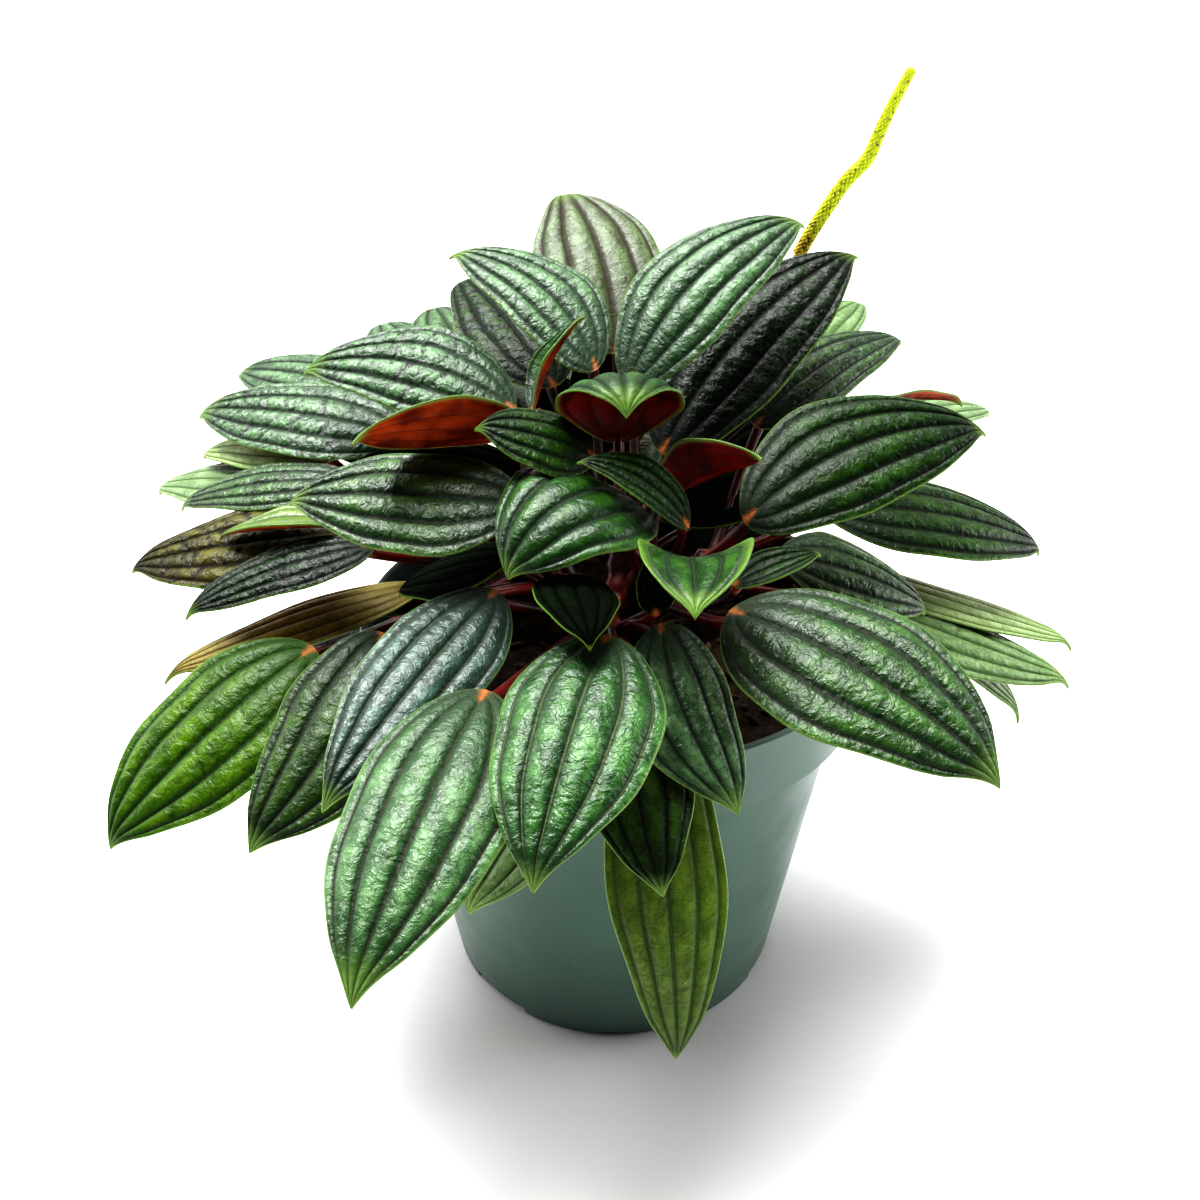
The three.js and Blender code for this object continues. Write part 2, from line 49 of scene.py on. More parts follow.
# ---- Sizes shared with the solids ----
GAP = 0.3
POT_HEIGHT, POT_RIM_RADIUS, POT_BASE_RADIUS = 89, 54, 38.5
POT_WALL, COLLAR_HEIGHT, COLLAR_STEP, POT_EDGE = 1.5, 15, 3.9, 0.9
DRAIN_AZIMUTHS = (107, 227, 337)
DRAIN_WIDTH, DRAIN_HEIGHT, DRAIN_DEPTH = 16, 2.4, 11
SOIL_EDGE_HEIGHT, SOIL_MOUND, SOIL_LUMP = 79.5, 2, 0.9
CROWN_TOP = 90
STEM_RADIUS, PETIOLE_RADIUS, YOUNG_PETIOLE_RADIUS = 3.2, 1.25, 0.95
FIRST_PETIOLE, LAST_PETIOLE, INNER_PETIOLE = 0.3, 0.97, 0.6
PETIOLE_BOW, HANGING_PITCH = 0.3, 25
STALK_RADIUS, SPIKE_RADIUS, SPIKE_TAPER = 0.95, 1.6, 0.35
BLADE_THICKNESS, BLADE_WIDEST = 0.7, 0.425
BLADE_BASE_POWER, BLADE_TIP_POWER, BLADE_INSET = 0.6, 0.92, 0.05
RIDGE_HEIGHT, TIP_HOOK, TIP_HOOK_START = 0.036, 0.03, 0.86

STEM_TIPS = [(7, -8, 107), (-15, 4, 101), (2, 17, 103), (21, 5, 99), (-2, -21, 97)]
STALK_POINTS = [(2, 16, 101), (14, 36, 112), (30, 54, 128), (39, 61, 141), (42, 62, 147.6)]
SPIKE_POINTS = [
    (42.3, 62, 148), (44.5, 61, 153), (47, 60, 158), (51, 59, 165),
    (55, 58, 170), (57, 57, 176), (59, 56, 182), (62, 55, 189),
]

# Where each blade sits: the petiole's end (x, y, z), then heading, pitch and roll in degrees.
# Next come its look and how strongly it is puckered, then its length, width and arch in
# degrees, and its cup and bow where they aren't -0.1 and 0. Names count from 1: front_1.
LEAVES = {
    "front": [
        (-22, -62, 109, -107, -19, -4, "silver", 0.25, 53, 26, 30, -0.15),
        (-2, -54, 115, -104, -20, 0, "emerald", 0.6, 46, 26, 38, -0.2),
        (-23, -33, 111, -118, -14, -16, "blue", 0.3, 51, 21, 18, -0.12),
        (-45, -28, 98, -119, -27, -10, "moss", 0.5, 46, 26, 26, -0.1, 0.09),
        (8, -38, 107, -63, -34, 4, "grey", 0.5, 36, 20, 30, -0.1, -0.09),
        (5, -46, 99, -84, -35, 0, "moss", 0.3, 36, 20, 28, -0.1, -0.08),
        (7, -52, 93, -82, -58, 0, "leafy", 0.1, 57, 21, 20, -0.05),
        (-6, -49, 98, -130, -40, 0, "pale", 0.1, 41, 22, 28, -0.05, 0.06),
        (22, -40, 112, -41, -11, 18, "deep", 0.6, 53, 30, 32, -0.12, 0.02),
    ],
    "left": [
        (-60, -28, 95, -138, -27, -16, "lime", 0.6, 50, 29, 26),
        (-42, -8, 98, -164, -13, -4, "bronze", 0.3, 53, 15, 10),
        (-56, 2, 106, -174, -7, -14, "brown", 1.3, 47, 25, 25, -0.1, 0.04),
        (-50, -10, 109, -162, -14, -14, "dark", 1.5, 38, 14, 18, -0.1, -0.03),
        (-19, -23, 125, 175, -1, -20, "deep", 0.6, 43, 26, 14, -0.12),
        (-21, -5, 132, -142, 12, 50, "deep", 0.3, 34, 18, 16, 0.1),
        (-23, 16, 129, 167, 5, -24, "grey", 1.3, 47, 25, 25, -0.1, -0.09),
        (-48, 25, 118, 160, -2, -22, "grey", 1.5, 55, 24, 25),
        (-53, 42, 120, 148, -4, -20, "grey", 0.6, 52, 20, 25),
        (-64, 25, 113, 154, -10, -15, "mist", 0.3, 40, 15, 25),
        (-72, 20, 107, 150, -13, -15, "pale", 0.4, 48, 16, 25),
        (-58, 12, 113, 170, -13, -16, "deep", 0.7, 42, 15, 25),
        (-21, -20, 112, 166, -24, -2, "shaded", 0.2, 26, 20, 20),
    ],
    "back": [
        (-5, 20, 137, 141, 21, -14, "grey", 0.5, 45, 22, 25, -0.1, -0.12),
        (0, 40, 134, 106, 25, -4, "stripe", 0.2, 56, 31, 30, -0.1, -0.04),
        (-15, 36, 127, 119, 12, -10, "bottle", 1.6, 52, 24, 25),
        (-34, 50, 123, 110, 6, -4, "silver", 0.7, 42, 22, 25),
        (-42, 52, 121, 116, 0, -4, "silver", 0.5, 48, 22, 25),
    ],
    "right": [
        (3, 12, 137, 40, 26, 18, "grey", 0.4, 56, 24, 42, -0.12, 0.06),
        (11, 18, 120, 40, 29, 16, "dark", 1.3, 66, 30, 25, -0.1, 0.05),
        (32, 28, 121, 43, 8, 16, "deep", 0.9, 53, 19, 28, -0.1, 0.04),
        (39, 50, 127, 56, 4, 5, "pale", 0.6, 44, 18, 20),
        (52, 38, 119, 24, -4, -24, "pale", 0.2, 34, 18, 20, 0.1),
        (61, 44, 113, 36, -8, 4, "pale", 0.2, 44, 18, 25),
        (26, -16, 120, 22, 10, 26, "bottle", 0.7, 54, 27, 30, -0.1, 0.08),
        (46, 10, 108, 12, -16, 16, "bottle", 0.5, 56, 26, 30),
        (34, -10, 107, 0, -22, 10, "deep", 0.2, 33, 24, 30),
        (51, 6, 95, 3, -20, 2, "mist", 0.1, 57, 15, 8, -0.1, -0.04),
        (47, -1, 94, -5, -20, 4, "pale", 0.5, 56, 22, 8, -0.1, -0.05),
        (47, 18, 96, -17, -37, 0, "pale", 0.1, 63, 20, 15),
    ],
    "young": [
        (3, -22, 125, -138, -9, -12, "young", 0.4, 35, 28, 100, -0.2, -0.05),
        (-5, -16, 132, -171, 18, -20, "bottle", 0.5, 22, 17, 20),
        (-17, 6, 132, 52, 45, -30, "young", 0.3, 22, 6, 10, 0.8, 0.1),
        (0, -5, 131, -86, 31, 0, "crest", 0.3, 33, 24, 130, -0.3),
        (9, -12, 123, -34, 31, -50, "young", 0.2, 24, 12, 20, 0.5),
        (12, -32, 126, 158, 22, -20, "bottle", 0.4, 23, 9, 40, 0.2, -0.08),
        (7, -38, 111, 95, 66, 0, "shaded", 0.1, 11, 7, 20, 0.2),
        (13, -36, 121, -92, 10, 0, "heart", 0.3, 26, 19, 30, 0.45),
        (22, -29, 112, 22, 10, 10, "bottle", 0.3, 18, 8, 20, 0.2),
        (-9, -37, 118, -79, 4, -4, "shaded", 0.2, 26, 14, 30),
        (-57, -4, 111, 177, -7, 10, "leafy", 0.1, 25, 12, 15, 0.3),
    ],
}
# Leaves deep inside the clump, in the same columns, which the solids leave out, most in near-black painted
# shade.
INNER_LEAVES = {
    "inner": [
        (-16, 12, 112, 172, 3, -20, "shaded", 0.4, 44, 18, 20),
        (11, 15, 104, 18, 6, 15, "shaded", 0.4, 40, 17, 20),
        (20, 36, 107, 36, 12, 5, "shaded", 0.4, 36, 18, 20),
        (-5, 26, 108, 118, 30, 0, "shaded", 0.4, 34, 18, 20),
        (-1, 30, 112, 92, 40, 0, "shaded", 0.4, 34, 20, 20),
        (-24, 24, 111, 166, -2, -10, "shaded", 0.4, 44, 18, 20),
        (-48, 0, 86, 176, -22, 8, "dark", 0.4, 30, 13, 20),
        (-12, 28, 104, 10, 0, 0, "shaded", 0.4, 34, 20, 20),
    ],
}
# The blades whose undersides are painted as lit, in orange, a lighter copy of the crimson the others have
# below.
LIT_AMBER_LEAVES = ("left_6", "right_5", "young_3", "young_11")
# The ring of hanging leaves on the far side.
LOW_LEAVES = dict(count=6, first_heading=55, step=12, reach=46, uneven=6, height=101)
LOW_LEAVES |= dict(stagger=13, pitch=-3, droop=6, shape=(48, 25, 30), pucker=0.6)
LOW_LOOKS = ("deep", "leafy", "grey")

# ---- Fine relief of a blade ----
VEINS = (0, 0.48, 0.85)  # sunken veins, from the midrib (0) to the edge (1)
RIDGE_SHARES = (1.0, 0.8, 0.3)  # how high each ridge stands, from the midrib out
EDGE_END = 0.86  # share of a full ridge that the strip along the edge keeps
RIDGE_POWER = 0.58  # under 1: round ridges with narrow grooves between them
RIDGE_GAIN = 1.15  # how much higher than the solids' the ridges stand
RIDGE_STEPS = (9, 8, 4)  # columns over each ridge
ROW_LENGTH = 0.6
PUCKER_DEPTH = 0.7  # share of a ridge's height that a full crease takes away
PUCKER_PITCH = 3.0
PUCKER_SLANT = 0.55  # how far the creases lean towards the tip on their way out
TAIL_START, TAIL_PINCH, TAIL_DROP = 0.84, 0.32, 0.015  # the slim hooked tail of the tip
EDGE_THICKNESS = 0.42
EDGE_ROUND = 0.14
FEWEST_ROWS = 24
EVENNESS = 0.45  # 1: rows of equal length, 0: rows that crowd at both ends of the blade
COLUMN_CROWDING = 0.45  # how much closer together the columns are beside the veins
SWELL_POWER = 0.6  # how soon the ridges reach their height past the base and the tip
EDGE_SWAY = 0.35  # how far the edge waves up and down on a blade as wide as SWAY_WIDTH
SWAY_WIDTH = 26
SPOT_RADIUS, SPOT_STRENGTH = 0.6, 0.85
WELD_DISTANCE = 0.01

# ---- Fineness and small forms of the other pieces ----
CROWN_HEIGHTS, CROWN_RADII = (SOIL_EDGE_HEIGHT - 4, 84, 87, 89, CROWN_TOP), (8, 8, 7.6, 6.2, 4)
CROWN_SIDES = 28
STEM_STEPS, STEM_SIDES = 14, 16
KNOT, STEM_END = 0.1, 0.7  # how knotty a stem is, and its last radius as a share
PETIOLE_STEPS, PETIOLE_SIDES = 20, 12
PETIOLE_WAIST, PETIOLE_FOOT, PETIOLE_NECK = 0.86, 0.55, 0.18  # foot and neck add to the waist
STALK_STEPS, STALK_SIDES = 40, 12
SPIKE_RINGS, SPIKE_SIDES = 330, 60
FLOWERS_ROUND, FLOWERS_ALONG = 11, 66
FLOWER_HEIGHT, FLOWER_FOOT, FLOWER_POWER = 0.42, 0.3, 0.6  # the foot is sunk into the spike
SPIKE_END, SPIKE_END_RADIUS = 0.985, 0.05  # where its round end starts, and its least radius
POT_SEGMENTS = 160
POT_SHARP_ANGLE = 40
SOIL_RINGS, SOIL_SIDES, SOIL_CRUMB, SOIL_SEED = 46, 150, 0.35, 5
BARK_BITS, BARK_SIZE, BARK_STRETCH, BARK_SEED = 240, 1.6, (1.5, 0.6, 0.4), 12
BARK_INSET, BARK_LIFT = 5, 0.3  # clear of the rim, and how far above the soil a bit's middle is


def from_srgb(red, green, blue):
    """A colour given as on a screen, 0 to 255, in the linear values that shaders take."""
    def linear(value):
        value /= 255
        return value / 12.92 if value <= 0.04045 else ((value + 0.055) / 1.055) ** 2.4
    return (linear(red), linear(green), linear(blue), 1)


# Each look of a blade: the greens of its ridges, of their tops, which carry a painted highlight, and of its
# grooves, which carry painted shade, the colour of its veins, how silvery its painted sheen is and how
# glossy it is, how much rougher than the rest, how strongly its ridges crumple, and where its pale tip
# and edge start, as shares of the way there.
LOOKS = {
    "deep": ((14, 42, 7), (60, 98, 34), (6, 16, 3), (34, 30, 14), 0.6, 0.38, 0, 0.55, 0.86, 0.975),
    "moss": ((15, 38, 5), (54, 86, 16), (7, 18, 3), (34, 34, 12), 0.3, 0.26, 0.02, 0.45, 0.88, 0.975),
    "bottle": ((9, 30, 3), (38, 70, 12), (4, 11, 1), (22, 24, 8), 0.3, 0.17, 0, 0.45, 0.88, 0.975),
    "emerald": ((13, 50, 10), (66, 114, 48), (5, 24, 4), (84, 98, 44), 0.8, 0.38, 0, 0.55, 0.9, 0.975),
    "silver": ((26, 58, 22), (88, 124, 76), (18, 30, 12), (52, 30, 20), 0.8, 0.33, 0, 0.48, 0.84, 0.97),
    "blue": ((18, 42, 26), (70, 98, 86), (6, 18, 8), (62, 78, 46), 1, 0.4, 0, 0.45, 0.9, 0.975),
    "dark": ((7, 22, 5), (24, 50, 16), (3, 7, 2), (22, 18, 10), 0.6, 0.2, 0, 0.6, 0.88, 0.975),
    "brown": ((44, 40, 8), (86, 84, 22), (18, 13, 4), (36, 24, 10), 0.2, 0.15, 0, 0.5, 0.95, 0.975),
    "bronze": ((118, 106, 46), (150, 138, 62), (44, 32, 12), (54, 36, 16), 0.2, 0.25, 0.05, 0.3, 0.93, 0.975),
    "leafy": ((66, 90, 20), (102, 128, 42), (34, 50, 12), (98, 110, 54), 0.1, 0.32, 0, 0.22, 0.95, 0.975),
    "lime": ((38, 70, 1), (80, 112, 8), (18, 38, 2), (40, 56, 6), 0.2, 0.2, 0, 0.45, 0.92, 0.96),
    "stripe": ((48, 56, 24), (92, 114, 70), (44, 28, 18), (50, 30, 24), 0.5, 0.32, 0.05, 0.35, 0.8, 0.97),
    "pale": ((80, 110, 58), (120, 146, 98), (50, 64, 30), (66, 64, 38), 0.4, 0.32, 0, 0.4, 0.78, 0.965),
    # A lighter copy of pale, painted light for back leaves that the others shade.
    "mist": ((128, 154, 94), (176, 200, 138), (82, 94, 50), (92, 90, 52), 0.4, 0.25, 0.1, 0.3, 0.85, 0.965),
    "grey": ((26, 56, 24), (98, 134, 90), (10, 24, 8), (26, 34, 18), 0.8, 0.34, 0, 0.55, 0.82, 0.97),
    "young": ((7, 38, 4), (42, 86, 18), (5, 24, 4), (26, 54, 12), 0.4, 0.34, 0, 0.35, 0.86, 0.975),
    "crest": ((7, 38, 4), (42, 86, 18), (5, 24, 4), (26, 54, 12), 0.4, 0.25, 0.05, 0.3, 0.75, 0.985),
    "heart": ((8, 42, 4), (50, 94, 22), (5, 24, 4), (26, 54, 12), 0.4, 0.3, 0, 0.32, 0.74, 0.76),
    # Near-black: painted shade for leaves deep in the clump or under others.
    "shaded": ((3, 10, 2), (9, 22, 5), (1, 3, 1), (9, 8, 4), 0, 0.04, 0.45, 0.2, 0.97, 0.985),
}
LIME = (108, 140, 60)  # the tip and the edge of a blade
# The colour of the painted sheen on the ridge tops.
SILVER_SHEEN = (168, 190, 176)
PETIOLE_SPOT = (164, 98, 44)  # where the petiole meets the blade


# ---- Materials ----
def node(tree, kind, inputs=None, **settings):
    """A new node. An input is given as a value or as the socket that feeds it."""
    made = tree.nodes.new(kind)
    for name, value in settings.items():
        setattr(made, name, value)
    for name, value in (inputs or {}).items():
        if isinstance(value, bpy.types.NodeSocket):
            tree.links.new(value, made.inputs[name])
        else:
            made.inputs[name].default_value = value
    return made


def mixed(tree, share, first, second):
    """The first colour, turning into the second as share goes from 0 to 1. Each colour is a
    socket or what a screen shows, 0 to 255."""
    ends = [from_srgb(*colour) if isinstance(colour, tuple) else colour for colour in (first, second)]
    inputs = {0: share, 6: ends[0], 7: ends[1]}
    return node(tree, "ShaderNodeMix", inputs, data_type="RGBA").outputs[2]


def ramp(tree, value, low, high, bottom=0.0, top=1.0):
    """A smooth step of value: bottom up to low, top from high."""
    span = {"Value": value, "From Min": low, "From Max": high, "To Min": bottom, "To Max": top}
    return node(tree, "ShaderNodeMapRange", span, interpolation_type="SMOOTHSTEP").outputs[0]


def tint(tree, base, colour, value, low, high, bottom=0.0, top=1.0):
    """The base, turning into the colour on a smooth step of value."""
    return mixed(tree, ramp(tree, value, low, high, bottom, top), base, colour)


def maths(tree, operation, first, second=0.0):
    return node(tree, "ShaderNodeMath", {0: first, 1: second}, operation=operation).outputs[0]


def noise(tree, scale, detail, roughness=0.55):
    """Noise in the object's own space; scale counts its lumps per metre."""
    place = node(tree, "ShaderNodeTexCoord").outputs["Object"]
    values = {"Vector": place, "Scale": scale, "Detail": detail, "Roughness": roughness}
    return node(tree, "ShaderNodeTexNoise", values).outputs[0]


def bump(tree, height, strength, distance, under=None):
    """The surface's normal, tilted by a height of distance mm, on top of the one under it."""
    values = {"Height": height, "Strength": strength, "Distance": distance * MM}
    if under is not None:
        values["Normal"] = under
    return node(tree, "ShaderNodeBump", values).outputs[0]


def attribute(tree, name):
    return node(tree, "ShaderNodeAttribute", attribute_name=name).outputs["Fac"]


def new_material(name, **constants):
    """A material and its tree; the constants go straight into the shader's own sockets."""
    material = bpy.data.materials.new(name)
    material.use_nodes = True
    shader = material.node_tree.nodes["Principled BSDF"]
    for socket, value in constants.items():
        shader.inputs[socket.replace("_", " ")].default_value = value
    return material, material.node_tree


def dressed(material, colour, normal, roughness=None):
    """The material, with the sockets fed that have a texture."""
    tree = material.node_tree
    for socket, value in (("Base Color", colour), ("Normal", normal), ("Roughness", roughness)):
        if value is not None:
            tree.links.new(value, tree.nodes["Principled BSDF"].inputs[socket])
    return material


def blade_place(tree, along, across):
    """Coordinates that run along and across a blade, in lumps per mm each way."""
    place = node(tree, "ShaderNodeAttribute", attribute_name="place").outputs["Vector"]
    return node(tree, "ShaderNodeMapping", {"Vector": place, "Scale": (along, across, 1)}).outputs[0]


def blade_noise(tree, along, across, detail, roughness=0.6, distortion=0.0):
    values = {"Vector": blade_place(tree, along, across), "Scale": 1, "Detail": detail}
    values |= {"Roughness": roughness, "Distortion": distortion}
    return node(tree, "ShaderNodeTexNoise", values).outputs[0]


def blade_cells(tree, along, across, feature="F1"):
    values = {"Vector": blade_place(tree, along, across), "Scale": 1}
    return node(tree, "ShaderNodeTexVoronoi", values, feature=feature).outputs["Distance"]


def blade_material(name, ridge, light, groove, vein, silver, gloss, dull, relief, tip, edge):
    """The upper face: pebbled ridges with a silvery gloss and painted highlight, painted shade in the
    grooves, a pale edge.
    """
    material, tree = new_material(f"leaf_{name}", Specular_IOR_Level=gloss)
    height, along = attribute(tree, "ridge"), attribute(tree, "along")
    # The tops of the ridges are lighter, in broad uneven patches: painted highlight, partly the leaf's own
    # paler green.
    top = ramp(tree, height, 0.3, 1.0)
    broad = ramp(tree, blade_noise(tree, 0.16, 0.3, 2), 0.36, 0.66)
    lit = maths(tree, "MULTIPLY", top, maths(tree, "ADD", maths(tree, "MULTIPLY", broad, 0.85), 0.2))
    green = mixed(tree, lit, ridge, light)
    # Painted sheen: tiny pale cells on top of the ridges, a sparkle of highlight painted into the colour.
    grain = blade_cells(tree, 2.3, 2.3)
    sheen_speckle = ramp(tree, grain, 0.1, 0.5, 1.0, 0.0)
    patches = ramp(tree, blade_noise(tree, 0.5, 0.7, 4, 0.7), 0.4, 0.66)
    painted_sheen = maths(tree, "MULTIPLY", maths(tree, "MULTIPLY", sheen_speckle, patches), top)
    green = mixed(tree, maths(tree, "MULTIPLY", painted_sheen, 0.5 * silver), green, SILVER_SHEEN)
    # Dark pits and thin cracks.
    green = tint(tree, green, groove, blade_noise(tree, 4.5, 4.5, 1), 0.58, 0.7, 0.0, 0.3)
    green = tint(tree, green, groove, blade_cells(tree, 0.62, 0.4, "DISTANCE_TO_EDGE"), 0.0, 0.05, 0.5, 0.0)
    # Painted shade in the creases and the grooves, then the veins' own colour in them.
    green = tint(tree, green, groove, attribute(tree, "crease"), 0.12, 0.6, 0.0, 0.92)
    green = tint(tree, green, groove, height, 0.1, 0.5, 0.7, 0.0)
    green = tint(tree, green, vein, height, 0.03, 0.2, 0.8, 0.0)
    # Painted shade: the blade is darkest near its petiole, where the leaves above shade it.
    green = tint(tree, green, ridge, along, 0.0, 0.5, 0.6, 0.0)
    green = tint(tree, green, LIME, along, tip, 1.0, 0.0, 0.85)
    green = tint(tree, green, LIME, attribute(tree, "edge"), edge, 1.0, 0.0, 0.6)
    green = mixed(tree, attribute(tree, "spot"), green, PETIOLE_SPOT)
    # The cells' tops are polished; the grooves and the gaps between the cells are dull.
    rough = ramp(tree, grain, 0.15, 0.6, 0.23 + dull, 0.38 + dull)
    rough = maths(tree, "ADD", rough, ramp(tree, height, 0.15, 0.6, 0.35, 0.0))
    pebbles = bump(tree, ramp(tree, grain, 0.1, 0.6, 1.0, 0.0), 0.3, 0.04)
    crumple = ramp(tree, blade_noise(tree, 0.65, 0.5, 3, 0.55, 0.5), 0.25, 0.75)
    return dressed(material, green, bump(tree, crumple, relief, 0.4, pebbles), rough)


def underside_material(name, dark, bright):
    """The smooth red underside, darker along the veins, green at its edge and tip."""
    material, tree = new_material(name, Specular_IOR_Level=0.22)
    red = tint(tree, dark, bright, noise(tree, 160, 3), 0.35, 0.65)
    red = tint(tree, red, (70, 8, 4), attribute(tree, "ridge"), 0.0, 0.5, 0.6, 0.0)
    red = tint(tree, red, (138, 150, 70), attribute(tree, "edge"), 0.9, 1.0, 0.0, 0.7)
    red = tint(tree, red, (148, 160, 66), attribute(tree, "along"), 0.86, 1.0, 0.0, 0.8)
    rough = ramp(tree, noise(tree, 400, 3), 0.3, 0.7, 0.42, 0.56)
    return dressed(material, red, bump(tree, noise(tree, 1500, 3), 0.25, 0.08), rough)


def stem_material():
    """Dark red stalks in painted shade, with faint paler streaks, browner where they reach the blades."""
    reach = (1.2 * MM, 0.4 * MM, 0.3 * MM)  # how far red, green and blue light spread inside
    material, tree = new_material(
        "stalks", Specular_IOR_Level=0.25, Subsurface_Weight=0.05, Subsurface_Radius=reach
    )
    # Painted shade: both reds are darker than the stalks' own, for the shade deep in the clump.
    red = tint(tree, (20, 2, 1), (76, 11, 5), noise(tree, 90, 3), 0.35, 0.65)
    red = tint(tree, red, (124, 46, 26), noise(tree, 1300, 3), 0.55, 0.72, 0.0, 0.3)
    red = tint(tree, red, (140, 58, 20), attribute(tree, "along"), 0.93, 1.0, 0.0, 0.6)
    rough = ramp(tree, noise(tree, 500, 2), 0.3, 0.7, 0.28, 0.42)
    return dressed(material, red, bump(tree, noise(tree, 1100, 3), 0.2, 0.1), rough)


def spike_material():
    """Lime-yellow flowers, golden towards the stalk, with brown dots between them."""
    reach = (0.8 * MM, 0.8 * MM, 0.2 * MM)
    material, tree = new_material("spike", Subsurface_Weight=0.15, Subsurface_Radius=reach)
    lime = mixed(tree, attribute(tree, "ridge"), (178, 190, 2), (214, 228, 10))
    along = attribute(tree, "along")
    lime = tint(tree, lime, (196, 150, 6), along, 0.0, 0.35, 0.75, 0.0)
    dots = maths(tree, "ADD", noise(tree, 1100, 1), ramp(tree, along, 0.0, 0.5, 0.1, 0.0))
    lime = tint(tree, lime, (104, 80, 10), dots, 0.63, 0.68, 0.0, 0.8)
    rough = ramp(tree, noise(tree, 900, 2), 0.3, 0.7, 0.45, 0.6)
    return dressed(material, lime, bump(tree, noise(tree, 3000, 2), 0.3, 0.06), rough)


def pot_material():
    """Satin recycled plastic: a fine moulded grain, faint scuffs and a little dust."""
    material, tree = new_material("pot_plastic", Specular_IOR_Level=0.5)
    green = tint(tree, (62, 88, 77), (71, 99, 86), noise(tree, 22, 4), 0.3, 0.7)
    green = tint(tree, green, (150, 168, 160), noise(tree, 520, 5, 0.75), 0.64, 0.74, 0.0, 0.35)
    rough = ramp(tree, noise(tree, 60, 5), 0.3, 0.7, 0.3, 0.42)
    grain = bump(tree, noise(tree, 2600, 3), 0.22, 0.05)
    return dressed(material, green, bump(tree, noise(tree, 70, 2), 0.2, 0.4, grain), rough)


def soil_material():
    """Dark crumbly potting mix with paler specks."""
    material, tree = new_material("potting_mix", Specular_IOR_Level=0.25)
    earth = tint(tree, (24, 17, 10), (58, 43, 28), noise(tree, 700, 5, 0.7), 0.35, 0.65)
    earth = tint(tree, earth, (84, 66, 46), noise(tree, 1600, 2), 0.66, 0.76, 0.0, 0.6)
    rough = ramp(tree, noise(tree, 300, 2), 0.3, 0.7, 0.8, 0.95)
    return dressed(material, earth, bump(tree, noise(tree, 1300, 6, 0.75), 0.9, 0.6), rough)


def bark_material():
    material, tree = new_material("bark", Roughness=0.85)
    brown = mixed(tree, noise(tree, 600, 4, 0.7), (28, 18, 11), (92, 62, 36))
    return dressed(material, brown, bump(tree, noise(tree, 1800, 4), 0.6, 0.2))


# ---- Meshes ----
def add_object(name, data):
    made = bpy.data.objects.new(name, data)
    bpy.context.scene.collection.objects.link(made)
    return made


def add_piece(name, points, faces, materials, nodes, face_materials=None, values=None):
    """A piece in metres from points in mm, riding on the part and standing for its nodes."""
    mesh = bpy.data.meshes.new(name)
    mesh.from_pydata((np.asarray(points, float) * MM).tolist(), [], faces)
    for material in materials:
        mesh.materials.append(material)
    if face_materials is not None:
        mesh.polygons.foreach_set("material_index", face_materials)
    mesh.polygons.foreach_set("use_smooth", [True] * len(mesh.polygons))
    for key, numbers in (values or {}).items():
        numbers = np.asarray(numbers, np.float32)
        kind, field = ("FLOAT_VECTOR", "vector") if key == "place" else ("FLOAT", "value")
        layer = mesh.attributes.new(key, kind, "POINT")
        layer.data.foreach_set(field, numbers.reshape(-1))
    mesh.update()
    piece = add_object(name, mesh)
    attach(piece, "root")
    if nodes:
        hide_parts(*nodes)
    return piece


def scatter(index):
    """A repeatable number from 0 to 1 for each whole number, as in the part's source."""
    wave = math.sin(index * 12.9898 + 4.1414) * 43758.5453
    return wave - math.floor(wave)


# ---- Leaves ----
class Leaf:
    """One blade: where it is, how it is turned, and its sizes."""

    def __init__(
        self, name, base, heading, pitch, roll, look, pucker, length, width, arch, cup=-0.1, bow=0
    ):
        self.name, self.base, self.pitch = name, Vector(base), pitch
        self.look, self.pucker = look, pucker
        self.length, self.width, self.cup, self.bow = length, width, cup, bow
        self.half_arch = math.radians(arch) / 2
        self.young = name.startswith("young")
        self.petiole_radius = YOUNG_PETIOLE_RADIUS if self.young else PETIOLE_RADIUS
        az, el = math.radians(heading), math.radians(pitch)
        self.along = Vector((math.cos(az) * math.cos(el), math.sin(az) * math.cos(el), math.sin(el)))
        self.left = Vector((-math.sin(az), math.cos(az), 0))
        self.left.rotate(Quaternion(self.along, math.radians(roll)))
        self.up = self.along.cross(self.left)
        self.seed = sum(ord(letter) * (place + 3) for place, letter in enumerate(name))
        self.root = None

    def midrib(self, distance):
        """Forward, rise and bend of the midrib at each distance from the petiole."""
        half = self.half_arch
        bend = half - 2 * half * np.maximum(distance, 0) / self.length
        radius = self.length / (2 * half)
        behind = np.minimum(distance, 0)
        forward = radius * (math.sin(half) - np.sin(bend)) + behind * math.cos(half)
        rise = radius * (np.cos(bend) - math.cos(half)) + behind * math.sin(half)
        return forward, rise, bend


def leaves_of(groups):
    return [
        Leaf(f"{group}_{number}", row[:3], *row[3:])
        for group, rows in groups.items()
        for number, row in enumerate(rows, 1)
    ]


def all_leaves():
    """The leaves that the solids have."""
    leaves = leaves_of(LEAVES)
    low = LOW_LEAVES
    for index in range(low["count"]):
        heading = low["first_heading"] + low["step"] * index
        out = low["reach"] + low["uneven"] * scatter(index)
        turn = math.radians(heading)
        base = (out * math.cos(turn), out * math.sin(turn), low["height"] + low["stagger"] * (index % 2))
        pitch = low["pitch"] - low["droop"] * scatter(index + low["count"])
        look = LOW_LOOKS[index % len(LOW_LOOKS)]
        leaf = Leaf(f"low_{index + 1}", base, heading, pitch, 0, look, low["pucker"], *low["shape"])
        leaves.append(leaf)
    return leaves


def outline(t):
    base = (t / BLADE_WIDEST) ** BLADE_BASE_POWER
    return base * ((1 - t) / (1 - BLADE_WIDEST)) ** BLADE_TIP_POWER


